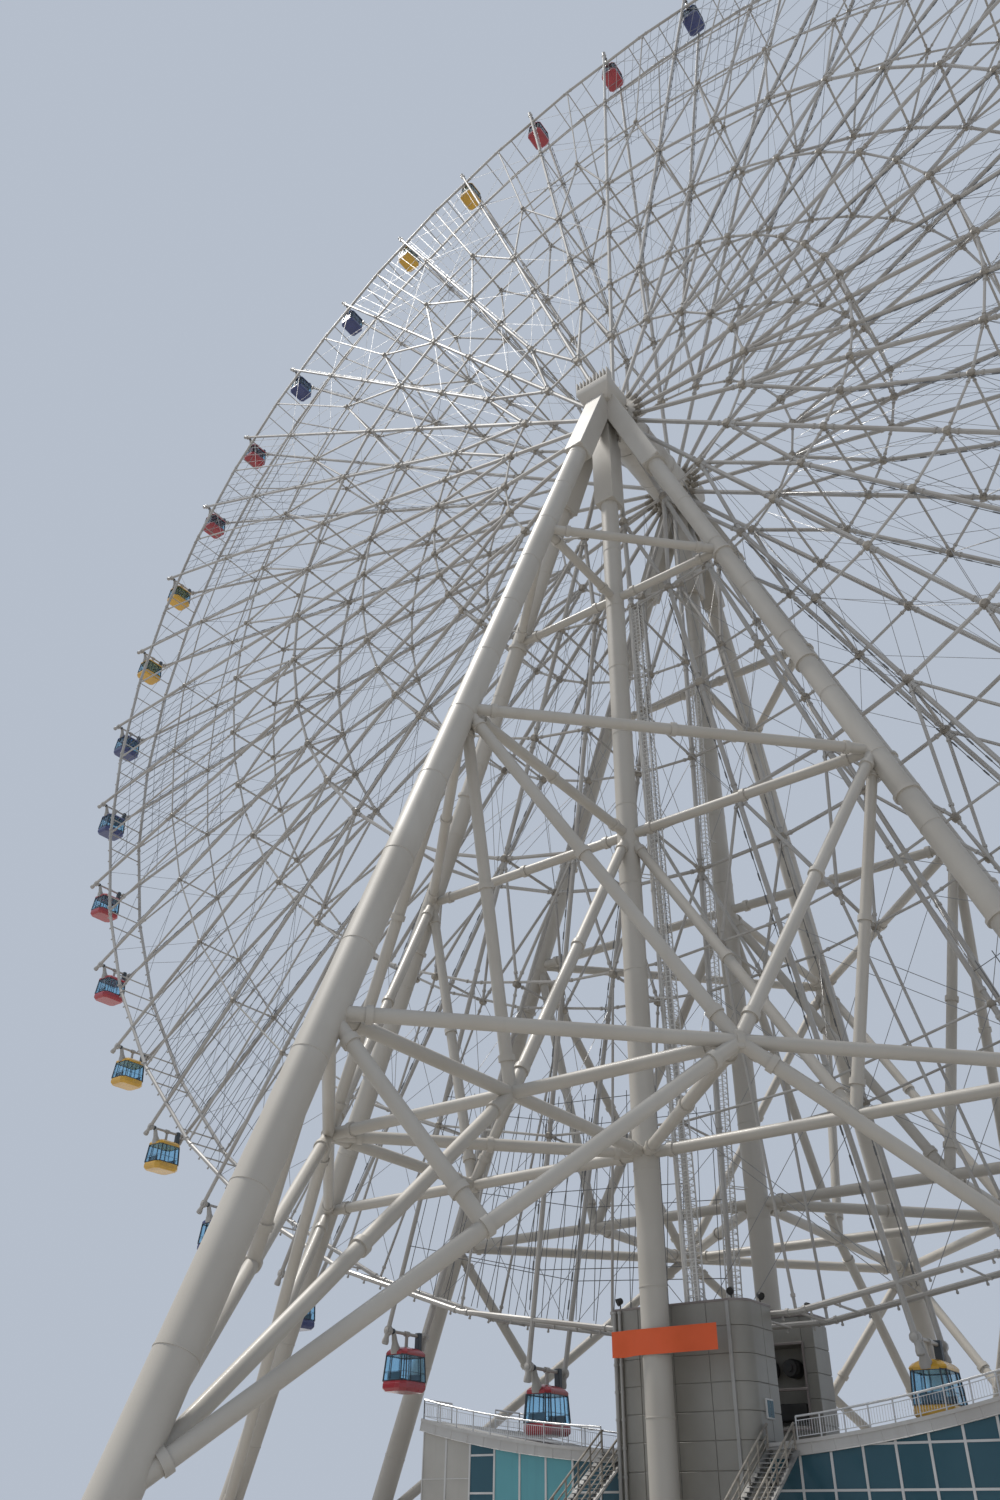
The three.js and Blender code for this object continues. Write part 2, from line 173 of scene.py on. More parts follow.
# Boarding station, with its main sizes from the frame. The deck follows a circle about the axle.
DECK_RADIUS = 7.925
DECK_THICK = 0.06
DECK_HALF_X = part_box("boarding_deck")[1].x
DECK_HALF_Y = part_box("boarding_deck")[1].y
DECK_STEP = 0.12
RAIL_HIGH = 0.102
RAIL_STEP = 0.13
RAIL_GAP = 0.018
TOP_RAIL = 0.0052
THIN_RAIL = 0.0024
RAIL_POST = 0.0042
BALUSTER = 0.0013
BALUSTERS = 9
HALL_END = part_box("right_hall")[1].x
HALL_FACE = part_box("right_hall")[1].y
HALL_WALL_THICK = 0.03
PANEL_JOINTS = (0.13, 0.25, 0.37)
TRANSOMS = (0.16, 0.30, 0.48)
DOOR_HALF = 0.098
DOOR_HIGH = 0.229
HOUSE_LOW, HOUSE_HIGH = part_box("lift_house")
HOUSE = {"left": HOUSE_LOW.x, "right": HOUSE_HIGH.x, "front": HOUSE_LOW.y, "back": HOUSE_HIGH.y,
         "top": HOUSE_HIGH.z, "corner": 0.09}
FAR_LOW, FAR_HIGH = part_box("drive_house")
FAR_HOUSE = {"left": FAR_LOW.x, "right": FAR_HIGH.x, "front": FAR_HIGH.y, "back": FAR_LOW.y,
             "top": FAR_HIGH.z}
MOUTH = {"low": 0.62, "high": 1.03, "left": -0.02, "right": FAR_HOUSE["right"] - 0.075}
ROW = 0.126
PANEL_THICK = 0.005
LEFT_STAIR = [corner.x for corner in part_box("left_stair")]
RIGHT_STAIR = [corner.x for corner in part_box("right_stair")]
STAIR_STEPS = 24
STAIR_RUN = 0.72
STAIR_RAILS = ((0.105, 0.0055), (0.062, 0.004), (0.03, 0.003))

# Banner on the near post
BANNER_WIDE = 0.615
BANNER_HIGH = 0.120
BANNER_MIDDLE = Vector((0.09, -TOWER_Y - 0.084, 0.935))

# Light: the sky, and two lamps with their strength, colour, spread in degrees and direction
SKY_COLOUR = (0.58, 0.645, 0.75)
SKY_STRENGTH = 0.80
KEY_LIGHT = (3.4, (1.0, 0.965, 0.91), 9, Vector((0.50, 0.12, -1.0)))
FILL_LIGHT = (0.15, (1.0, 0.94, 0.86), 60, Vector((-0.4, 0.8, 0.25)))
FLOOR_SIZE = 160

# Camera, at the viewing angle of the photograph
CAMERA_AT = Vector((3.348, -6.42, 0.078))
CAMERA_HEADING = (-0.6131, 0.7900)
CAMERA_PITCH = math.radians(34.837)
CAMERA_ROLL = math.radians(1.1037)
LONG_SIDE_PIXELS = 1500
FOCAL_PIXELS = 1138.19
SENSOR = 36


# Modelling by hand: pieces are opened, drawn and closed

def unselect():
    if bpy.context.mode != "OBJECT":
        bpy.ops.object.mode_set(mode="OBJECT")
    bpy.ops.object.select_all(action="DESELECT")


def choose(piece):
    """Makes this piece the only one selected, in object mode."""
    unselect()
    piece.select_set(True)
    bpy.context.view_layer.objects.active = piece


def rename(piece, name):
    piece.name = name
    piece.data.name = name


def open_piece(name):
    """An empty mesh at the origin, open in edit mode."""
    unselect()
    bpy.ops.object.add(type="MESH")
    piece = bpy.context.object
    rename(piece, name)
    bpy.ops.object.mode_set(mode="EDIT")
    return piece


def edit_all(piece):
    """Opens a piece again with all of it selected."""
    choose(piece)
    bpy.ops.object.mode_set(mode="EDIT")
    bpy.ops.mesh.select_all(action="SELECT")


def close_piece(piece, material, smooth=35):
    """Turns every face outwards, leaves edit mode and gives the piece its material."""
    edit_all(piece)
    bpy.ops.mesh.normals_make_consistent(inside=False)
    bpy.ops.object.mode_set(mode="OBJECT")
    piece.data.materials.append(material)
    bpy.ops.object.shade_smooth_by_angle(angle=math.radians(smooth))
    return piece


def joined(name, pieces):
    """Several closed pieces as one mesh."""
    choose(pieces[0])
    for piece in pieces:
        piece.select_set(True)
    bpy.ops.object.join()
    rename(pieces[0], name)
    return pieces[0]


def copied(piece, name):
    """A copy with its own mesh."""
    choose(piece)
    bpy.ops.object.duplicate(linked=False)
    copy = bpy.context.object
    rename(copy, name)
    return copy


def mirrored(piece, name):
    """A copy on the other side of the wheel's plane, with its faces turned out again."""
    copy = copied(piece, name)
    edit_all(copy)
    bpy.ops.transform.resize(value=(1, -1, 1), center_override=(0, 0, 0))
    bpy.ops.mesh.flip_normals()
    bpy.ops.object.mode_set(mode="OBJECT")
    return copy


def shifted(piece, by):
    """Moves the mesh of a piece and leaves its object at the origin."""
    edit_all(piece)
    bpy.ops.transform.translate(value=by)
    bpy.ops.object.mode_set(mode="OBJECT")


def spun(steps, angle):
    """Repeats all that is drawn so far around the axle, each copy one angle further."""
    bpy.ops.mesh.select_all(action="SELECT")
    bpy.ops.mesh.spin(steps=steps, dupli=True, angle=steps * angle, use_auto_merge=False,
                      center=AXLE, axis=Y_AXIS)


def soften_edges(size):
    bpy.ops.mesh.bevel(offset=size, offset_type="OFFSET", segments=1, affect="EDGES")


def basis(along):
    """A turn that takes Z to a direction, with one flank kept square to the axle where it can be."""
    axis = along.normalized()
    reference = Z_AXIS if abs(axis.y) > 0.9 else Y_AXIS
    flank = axis.cross(reference).normalized()
    facing = axis.cross(flank)
    return Matrix((flank, facing, axis)).transposed()


def drawn_out(start, toward, sections, sides=8):
    """A round piece drawn out of one circle. Each section is a distance from the start and a radius."""
    direction = toward.normalized()
    turn = (basis(direction) @ Matrix.Rotation(math.pi / sides, 3, "Z")).to_euler()
    at, radius = sections[0]
    bpy.ops.mesh.primitive_circle_add(vertices=sides, radius=radius, fill_type="NGON",
                                      location=start + direction * at, rotation=turn)
    for next_at, next_radius in sections[1:]:
        step = direction * (next_at - at)
        bpy.ops.mesh.extrude_region_move(TRANSFORM_OT_translate={"value": step})
        if next_radius != radius:
            ratio = next_radius / radius
            centre = start + direction * next_at
            bpy.ops.transform.resize(value=(ratio, ratio, ratio), center_override=centre)
        at, radius = next_at, next_radius


def tube(start, end, radius, end_radius=None, joints=(), lip=0.005, band=0.016, sides=8):
    """A straight tube with a raised band at each joint, given as a distance from its start."""
    length = (end - start).length
    if end_radius is None:
        end_radius = radius
    sections = [(0, radius)]
    for distance in joints:
        here = radius + (end_radius - radius) * distance / length
        low, high = distance - band / 2, distance + band / 2
        sections += [(low, here), (low, here + lip), (high, here + lip), (high, here)]
    sections.append((length, end_radius))
    drawn_out(start, end - start, sections, sides)


def strut(start, end, radius, inset=0.1, sides=8):
    """A tube between two nodes with a raised band near each end."""
    tube(start, end, radius, joints=(inset, (end - start).length - inset), sides=sides)


def wire(start, end, radius, sides=3):
    """A plain rod or wire from one point to another."""
    drawn_out(start, end - start, [(0, radius), ((end - start).length, radius)], sides)


def disc(foot, toward, radius, thick, sides):
    """A round plate or short collar."""
    drawn_out(foot, toward, [(0, radius), (thick, radius)], sides)


def drum(foot, toward, length, radius, edge, end_radius, sides=8):
    """A short round body that narrows over its two edges."""
    drawn_out(foot, toward, [(0, end_radius), (edge, radius), (length - edge, radius),
                             (length, end_radius)], sides)


def bolt(foot, toward, head, thick, shank, length):
    """A six-sided nut with the end of its bolt standing out of it."""
    drawn_out(foot, toward, [(0, head), (thick, head), (thick, shank), (length, shank)], 6)


def slab(corner, opposite, soften=0.0):
    """A block between two opposite corners, with its edges softened where that is asked for."""
    low, high = Vector(map(min, corner, opposite)), Vector(map(max, corner, opposite))
    bpy.ops.mesh.primitive_cube_add(size=1, location=(low + high) / 2, scale=high - low)
    if soften:
        soften_edges(soften)


def beam(start, end, wide, deep, soften=0.0):
    """A straight bar of rectangular section."""
    along = end - start
    bpy.ops.mesh.primitive_cube_add(size=1, location=(start + end) / 2,
                                    rotation=basis(along).to_euler(), scale=(wide, deep, along.length))
    if soften:
        soften_edges(soften)


def cut_through(point, normal):
    """Cuts all faces along a plane, and keeps both sides."""
    bpy.ops.mesh.select_all(action="SELECT")
    bpy.ops.mesh.bisect(plane_co=point, plane_no=normal)


def cut_at_floor(z=0.0):
    """Cuts off what lies below a height and closes the cut."""
    bpy.ops.mesh.select_all(action="SELECT")
    bpy.ops.mesh.bisect(plane_co=(0, 0, z), plane_no=Z_AXIS, clear_inner=True, use_fill=True)


def select_points(piece, wanted):
    """Selects the points that a test on their place picks out."""
    bpy.ops.mesh.select_all(action="DESELECT")
    bpy.ops.object.mode_set(mode="OBJECT")
    for point in piece.data.vertices:
        point.select = wanted(point.co)
    bpy.ops.object.mode_set(mode="EDIT")
    bpy.ops.mesh.select_mode(type="VERT")


def select_faces(piece, wanted):
    """Selects the faces that a test on their middle and normal picks out."""
    bpy.ops.mesh.select_all(action="DESELECT")
    bpy.ops.object.mode_set(mode="OBJECT")
    for face in piece.data.polygons:
        face.select = wanted(face.center, face.normal)
    bpy.ops.object.mode_set(mode="EDIT")
    bpy.ops.mesh.select_mode(type="FACE")


# Finishes. Effects that several materials share are node groups.

def feed(tree, socket, value):
    """Sets a socket to a number or a colour, or links it to what another node puts out."""
    if isinstance(value, (int, float)):
        socket.default_value = value
    elif isinstance(value, tuple):
        socket.default_value = (*value, 1)
    else:
        tree.links.new(value, socket)


def node_group(name, inputs, outputs):
    """An empty shared effect with named inputs and outputs."""
    group = bpy.data.node_groups.new(name, "ShaderNodeTree")
    for label, kind, value in inputs:
        socket = group.interface.new_socket(name=label, in_out="INPUT", socket_type=kind)
        socket.default_value = value
    for label, kind in outputs:
        group.interface.new_socket(name=label, in_out="OUTPUT", socket_type=kind)
    return group, group.nodes.new("NodeGroupInput"), group.nodes.new("NodeGroupOutput")


def noise(tree, coordinates, scale, detail=4.0):
    texture = tree.nodes.new("ShaderNodeTexNoise")
    for label, value in (("Detail", detail), ("Roughness", 0.55), ("Scale", scale), ("Vector", coordinates)):
        feed(tree, texture.inputs[label], value)
    return texture.outputs["Fac"]


def remap(tree, value, low, high, to_low=0.0, to_high=1.0):
    """A value stretched from one range to another, and held inside it."""
    node = tree.nodes.new("ShaderNodeMapRange")
    for label, given in (("Value", value), ("From Min", low), ("From Max", high), ("To Min", to_low),
                         ("To Max", to_high)):
        feed(tree, node.inputs[label], given)
    return node.outputs["Result"]


def arithmetic(tree, operation, first, second):
    node = tree.nodes.new("ShaderNodeMath")
    node.operation = operation
    feed(tree, node.inputs[0], first)
    feed(tree, node.inputs[1], second)
    return node.outputs["Value"]


def blended(tree, factor, first, second):
    """Two colours mixed by a factor."""
    node = tree.nodes.new("ShaderNodeMix")
    node.data_type = "RGBA"
    for label, value in (("Factor", factor), ("A", first), ("B", second)):
        feed(tree, node.inputs[label], value)
    return node.outputs["Result"]


def make_weathering():
    """Paint out in the weather: faint clouding, rain streaks down the surface and dust in patches."""
    group, given, out = node_group("weathering", [
        ("Paint", "NodeSocketColor", (0.6, 0.6, 0.6, 1)),
        ("Grime", "NodeSocketColor", (0.3, 0.28, 0.25, 1)),
        ("Scale", "NodeSocketFloat", 3.0),
        ("Amount", "NodeSocketFloat", 0.5),
        ("Streaks", "NodeSocketFloat", 0.6),
        ("Smoothest", "NodeSocketFloat", 0.35),
        ("Roughest", "NodeSocketFloat", 0.6),
    ], [("Color", "NodeSocketColor"), ("Roughness", "NodeSocketFloat"), ("Height", "NodeSocketFloat")])
    place = group.nodes.new("ShaderNodeTexCoord").outputs["Object"]
    stretch = group.nodes.new("ShaderNodeMapping")
    stretch.inputs["Scale"].default_value = (9, 9, 0.7)
    feed(group, stretch.inputs["Vector"], place)
    clouds = noise(group, place, given.outputs["Scale"], detail=5)
    streaks = remap(group, noise(group, stretch.outputs["Vector"], 1.6, detail=3), 0.52, 0.72)
    patches = remap(group, clouds, 0.42, 0.72)
    both = arithmetic(group, "MAXIMUM", patches,
                      arithmetic(group, "MULTIPLY", streaks, given.outputs["Streaks"]))
    strength = arithmetic(group, "MULTIPLY", both, given.outputs["Amount"])
    fine = noise(group, place, 90.0, detail=2)
    feed(group, out.inputs["Color"], blended(group, strength, given.outputs["Paint"], given.outputs["Grime"]))
    feed(group, out.inputs["Roughness"],
         remap(group, clouds, 0.3, 0.7, given.outputs["Smoothest"], given.outputs["Roughest"]))
    feed(group, out.inputs["Height"], arithmetic(group, "ADD", fine, patches))
    return group


def make_edge_wear():
    """Corners rubbed to a second colour, broken up so that no edge is even."""
    group, given, out = node_group("edge_wear", [
        ("Color", "NodeSocketColor", (0.6, 0.6, 0.6, 1)),
        ("Worn", "NodeSocketColor", (0.4, 0.35, 0.3, 1)),
        ("Amount", "NodeSocketFloat", 0.5),
    ], [("Color", "NodeSocketColor")])
    pointed = group.nodes.new("ShaderNodeNewGeometry").outputs["Pointiness"]
    place = group.nodes.new("ShaderNodeTexCoord").outputs["Object"]
    edges = remap(group, pointed, 0.53, 0.62)
    broken = remap(group, noise(group, place, 14.0), 0.42, 0.6)
    rubbed = arithmetic(group, "MULTIPLY", edges, broken)
    share = arithmetic(group, "MULTIPLY", rubbed, given.outputs["Amount"])
    feed(group, out.inputs["Color"], blended(group, share, given.outputs["Color"], given.outputs["Worn"]))
    return group


WEATHERING = make_weathering()
EDGE_WEAR = make_edge_wear()


def placed(tree, group, values):
    """One use of a shared effect, with its own values."""
    node = tree.nodes.new("ShaderNodeGroup")
    node.node_tree = group
    for label, value in values.items():
        feed(tree, node.inputs[label], value)
    return node


def empty_material(name):
    material = bpy.data.materials.new(name)
    material.use_nodes = True
    return material, material.node_tree, material.node_tree.nodes["Principled BSDF"].inputs


def weathered(name, paint, grime, amount=0.4, scale=3.0, smoothest=0.32, roughest=0.6,
              worn=None, metallic=0.0, coat=0.0, bump=0.15, streaks=0.6):
    """A painted or plated finish with clouding, streaks and, where given, worn edges."""
    material, tree, shader = empty_material(name)
    cover = placed(tree, WEATHERING, {
        "Paint": paint, "Grime": grime, "Scale": scale, "Amount": amount, "Streaks": streaks,
        "Smoothest": smoothest, "Roughest": roughest,
    })
    colour = cover.outputs["Color"]
    if worn:
        colour = placed(tree, EDGE_WEAR, {"Color": colour, "Worn": worn, "Amount": 0.7}).outputs["Color"]
    relief = tree.nodes.new("ShaderNodeBump")
    for socket, value in (
        (shader["Base Color"], colour), (shader["Roughness"], cover.outputs["Roughness"]),
        (shader["Metallic"], metallic), (shader["Coat Weight"], coat), (shader["Coat Roughness"], 0.12),
        (relief.inputs["Strength"], bump), (relief.inputs["Distance"], 0.002),
        (relief.inputs["Height"], cover.outputs["Height"]), (shader["Normal"], relief.outputs["Normal"]),
    ):
        feed(tree, socket, value)
    return material


def glazed(name, tint, transmission=1.0):
    """Tinted glass with a faint film of dust that changes its gloss."""
    material, tree, shader = empty_material(name)
    place = tree.nodes.new("ShaderNodeTexCoord").outputs["Object"]
    clouds = remap(tree, noise(tree, place, 2.5), 0.3, 0.8)
    darker = tuple(0.85 * part for part in tint)
    feed(tree, shader["Base Color"], blended(tree, clouds, tint, darker))
    feed(tree, shader["Roughness"], remap(tree, noise(tree, place, 7.0), 0.35, 0.7, 0.05, 0.17))
    feed(tree, shader["Transmission Weight"], transmission)
    feed(tree, shader["IOR"], 1.3)
    return material


TOWER_PAINT = weathered("tower_paint", (0.46, 0.432, 0.385), (0.30, 0.26, 0.21), amount=0.35, scale=1.3,
                        smoothest=0.45, roughest=0.58, coat=0.05, bump=0.05, streaks=0.35)
WHEEL_PAINT = weathered("wheel_paint", (0.40, 0.385, 0.36), (0.21, 0.175, 0.145), amount=0.45, scale=2.2,
                        smoothest=0.3, roughest=0.55, coat=0.1)
NODE_STEEL = weathered("node_steel", (0.24, 0.215, 0.18), (0.10, 0.085, 0.07), amount=0.6, scale=9.0,
                       worn=(0.4, 0.36, 0.3))
CABLE_STEEL = weathered("cable_steel", (0.30, 0.30, 0.30), (0.12, 0.11, 0.10), amount=0.5, scale=12.0,
                        metallic=0.6)
RACK_STEEL = weathered("rack_steel", (0.13, 0.13, 0.13), (0.05, 0.05, 0.05), amount=0.5, scale=12.0)
HUB_PAINT = weathered("hub_paint", (0.50, 0.475, 0.43), (0.26, 0.22, 0.18), amount=0.5, smoothest=0.4)
MAST_PAINT = weathered("mast_paint", (0.62, 0.61, 0.59), (0.38, 0.36, 0.33), scale=4.0)
PANEL_METAL = weathered("house_panel", (0.27, 0.26, 0.232), (0.17, 0.155, 0.13), amount=0.5, scale=2.4,
                        roughest=0.48, metallic=0.1)
CHANNEL_PALE = weathered("channel_pale", (0.36, 0.355, 0.34), (0.2, 0.19, 0.17), amount=0.5, scale=4.0)
PANEL_TRIM = weathered("panel_trim", (0.23, 0.20, 0.19), (0.12, 0.10, 0.09), amount=0.5, scale=5.0)
DECK_WHITE = weathered("deck_fascia", (0.49, 0.48, 0.46), (0.29, 0.26, 0.23), amount=0.5, scale=2.6)
DECK_FLOOR = weathered("deck_floor", (0.34, 0.34, 0.33), (0.18, 0.17, 0.16), amount=0.6, scale=5.0,
                       smoothest=0.5, roughest=0.8)
BRIGHT_RAIL = weathered("bright_rail", (0.60, 0.60, 0.60), (0.36, 0.36, 0.36), amount=0.3, scale=6.0,
                        smoothest=0.24, roughest=0.42, metallic=0.5)
HALL_WALL = weathered("hall_wall", (0.44, 0.42, 0.38), (0.26, 0.24, 0.21), amount=0.45, scale=2.2)
MULLION_WHITE = weathered("mullion_white", (0.60, 0.60, 0.59), (0.36, 0.34, 0.31), scale=4.0)
SIGN_TEAL = weathered("sign_board", (0.10, 0.33, 0.37), (0.07, 0.2, 0.24))
STAIR_STEEL = weathered("stair_steel", (0.26, 0.26, 0.255), (0.12, 0.11, 0.10), amount=0.6, scale=6.0,
                        worn=(0.45, 0.44, 0.42), metallic=0.4)
CABIN_COLOURS = (
    ("cabin_red", (0.36, 0.018, 0.03), (0.14, 0.02, 0.02)),
    ("cabin_yellow", (0.66, 0.37, 0.025), (0.3, 0.17, 0.04)),
    ("cabin_blue", (0.025, 0.04, 0.16), (0.02, 0.025, 0.06)),
)
CABIN_FINISH = {name: weathered(name, paint, grime, scale=7.0, smoothest=0.2, roughest=0.38, coat=0.6,
                                bump=0.05) for name, paint, grime in CABIN_COLOURS}
CABIN_FRAME = weathered("cabin_frame", (0.045, 0.06, 0.075), (0.02, 0.02, 0.02), scale=9.0,
                        smoothest=0.3, roughest=0.5)
CABIN_SEAT = weathered("cabin_seat", (0.30, 0.33, 0.36), (0.16, 0.17, 0.18), scale=9.0)
CABIN_GLASS = glazed("cabin_glass", (0.60, 0.83, 0.965))
HALL_GLASS = glazed("hall_glass", (0.07, 0.17, 0.22), transmission=0.35)
BANNER_CLOTH = weathered("banner_cloth", (0.62, 0.09, 0.02), (0.4, 0.07, 0.02), amount=0.3, scale=5.0,
                         smoothest=0.6, roughest=0.85)
LAMP_BLACK = weathered("lamp_black", (0.03, 0.03, 0.03), (0.08, 0.07, 0.06), scale=9.0)
FLOOR_PALE = weathered("studio_floor", (0.42, 0.41, 0.395), (0.38, 0.37, 0.355), amount=0.3, scale=0.4,
                       smoothest=0.6, roughest=0.8, bump=0.02)


def ready(piece, body, replaces=()):
    """Puts a finished piece on its body, and hides the frame's parts that it stands for."""
    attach(piece, body)
    if replaces:
        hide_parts(*replaces)
    return piece


# The wheel

def on_wheel(radius, bay, y):
    """A point of the wheel at a radius. Bays are counted from the top, and a half lies between two."""
    angle = bay * PITCH
    return Vector((radius * math.sin(angle), y, AXLE.z + radius * math.cos(angle)))


def face_y(radius):
    """The two faces lean together from the hub to the rim."""
    along = (radius - FLANGE_RADIUS) / (RIM - FLANGE_RADIUS)
    return HUB_HALF + (RIM_HALF - HUB_HALF) * along


def near(radius, bay):
    """A point of the near face."""
    return on_wheel(radius, bay, -face_y(radius))


def far(radius, bay):
    """The same point of the far face."""
    return on_wheel(radius, bay, face_y(radius))


def node_joints(start, nodes):
    """Flanges on an arm, one on each side of every node that it passes."""
    return [node - start + side for node in nodes for side in (-0.085, 0.085)]


def knot(point, radius=NODE_DRUM, half=0.03):
    """The short drum where tubes meet at a node, square to the plane of the wheel."""
    drum(point - Y_AXIS * half, Y_AXIS, half * 2, radius, half * 0.4, radius * 0.6)


def near_face_pair():
    """Two bays of the near face: a spoke from the hub, an arm from the fork, and the rings across."""
    nodes = (FORK, INNER, MIDDLE, OUTER, THIN)
    spoke = open_piece("spoke_bay")
    hub_start = FLANGE_RADIUS - 0.02
    tube(near(hub_start, 0), near(TIP, 0), *SPOKE_TUBE, joints=node_joints(hub_start, (KNOT, *nodes)))
    tube(near(FORK, 1), near(TIP, 1), *ARM_TUBE, joints=node_joints(FORK, nodes)[1:])
    for bay in (-1, 1):
        strut(near(KNOT, 0), near(FORK, bay), FORK_TUBE)
    strut(near(KNOT, 0), near(KNOT, 2), CHORD_TUBE, inset=0.06, sides=6)
    for bay in (0, 1):
        for radius, size in RING_TUBES.items():
            strut(near(radius, bay), near(radius, bay + 1), size, inset=0.07, sides=6)
        wire(near(THIN, bay), near(THIN, bay + 1), THIN_RING, sides=6)
        peak = bay + 0.5
        for side in (0, 1):
            strut(near(MIDDLE, bay + side), near(OUTER, peak), ZIGZAG_TUBE, inset=0.09, sides=6)
        strut(near(OUTER, peak), near(RIM, peak), PEAK_TUBE, inset=0.08, sides=6)
    spun(BAYS // 2 - 1, 2 * PITCH)
    return close_piece(spoke, WHEEL_PAINT)


def near_knots():
    """The drums of bare, stained steel at the nodes, and the sleeves of the spokes at the hub."""
    knots = open_piece("knot_bay")
    for bay in (0, 1):
        for radius in (FORK, INNER, MIDDLE):
            knot(near(radius, bay))
        knot(near(OUTER, bay + 0.5), radius=0.028)
        knot(near(THIN, bay), radius=0.024, half=0.024)
    knot(near(KNOT, 0), radius=0.04, half=0.034)
    start = near(FLANGE_RADIUS + 0.01, 0)
    sleeve = [(0, 0.026), (0.02, 0.031), (0.06, 0.031), (0.062, 0.025), (0.1, 0.023)]
    drawn_out(start, near(TIP, 0) - start, sleeve)
    spun(BAYS // 2 - 1, 2 * PITCH)
    return close_piece(knots, NODE_STEEL)


def near_rim():
    """The rim tube of the near face with its lamp studs, and the pivot bearings and bells of the arm tips."""
    rim = open_piece("rim_bay")
    start, end = near(RIM, 0.5), near(RIM, 1.5)
    strut(start, end, RIM_TUBE, inset=0.05)
    pivot = near(PIVOT_RADIUS, 1)
    bearing = [(0, 0.022), (0, 0.030), (0.026, 0.030), (0.026, 0.018), (0.034, 0.018), (0.038, 0.008)]
    drawn_out(Vector((pivot.x, -0.173, pivot.z)), -Y_AXIS, bearing, 10)
    tip = near(PIVOT_RADIUS + 0.012, 1)
    bell = [(0, 0.0175), (0.030, 0.0175), (0.048, 0.023), (0.066, 0.023), (0.072, 0.018)]
    drawn_out(tip, near(TIP, 1) - tip, bell, 10)
    stud = [(0, 0.006), (0.012, 0.006), (0.018, 0.009), (0.026, 0.007)]
    for step in range(RIM_STUDS):
        here = start + (end - start) * ((step + 0.5) / RIM_STUDS)
        outward = (here - Vector((0, here.y, AXLE.z))).normalized()
        drawn_out(here + outward * 0.012, outward, stud, 5)
    spun(BAYS - 1, PITCH)
    return close_piece(rim, WHEEL_PAINT)


def wheel_ties():
    """Struts straight across between the two faces, at every node and along the rim."""
    ties = open_piece("wheel_ties")
    for radius, size in TIE_TUBES.items():
        strut(near(radius, 0), far(radius, 0), size, inset=0.07, sides=6)
    strut(near(OUTER, 0.5), far(OUTER, 0.5), OUTER_TIE, inset=0.07, sides=6)
    for shift in (0.31, 0.5, 0.69):
        wire(on_wheel(RIM, shift, -RIM_HALF), on_wheel(RIM, shift, RIM_HALF), RIM_TIE, sides=6)
    spun(BAYS - 1, PITCH)
    return close_piece(ties, WHEEL_PAINT)


def wheel_cables():
    """Thin crossed cables in each face, and between the faces along every arm."""
    cables = open_piece("wheel_cables")
    levels = (FORK, INNER, MIDDLE, OUTER, THIN, RIM)
    for end in (near, far):
        other = far if end is near else near
        for low, high in zip(levels, levels[1:]):
            if low in (INNER, OUTER):
                wire(end(low, 0), other(high, 0), CABLE)
            if low != MIDDLE:
                wire(end(low, 0), end(high, 1), CABLE)
                wire(end(low, 1), end(high, 0), CABLE)
        wire(end(KNOT, 0), end(MIDDLE, 1), LONG_CABLE)
        wire(end(KNOT, 0), other(INNER, 1), LONG_CABLE)
    spun(BAYS - 1, PITCH)
    return close_piece(cables, CABLE_STEEL)


def light_racks():
    """Racks of lamp rods along the arms near the rim, two bays out of every four."""
    racks = open_piece("light_racks")
    for end in (near, far):
        for bay in (0, 1):
            for rod in range(RACK_RODS):
                at = bay + (rod + 0.5) / RACK_RODS
                wire(end(THIN - 0.25, at), end(RIM - 0.04, at), RACK_ROD)
            for radius in (THIN - 0.2, THIN + 0.35, THIN + 0.8):
                wire(end(radius, bay), end(radius, bay + 1), RACK_BAR)
    spun(BAYS // 4 - 1, 4 * PITCH)
    return close_piece(racks, RACK_STEEL)


def lamp_strips():
    """A dark strip of lamps beside every other arm, on both faces."""
    strips = open_piece("lamp_strips")
    beside = X_AXIS * 0.031
    for end in (near, far):
        low, high = end(FORK + 0.1, 1) + beside, end(RIM - 0.08, 1) + beside
        wire(low, high, STRIP_ROD)
        half = (high - low).normalized() * STRIP_LAMP_HALF
        for step in range(STRIP_LAMPS):
            lamp = low.lerp(high, (step + 0.5) / STRIP_LAMPS)
            wire(lamp - half, lamp + half, STRIP_LAMP)
    spun(BAYS // 2 - 1, 2 * PITCH)
    return close_piece(strips, RACK_STEEL)


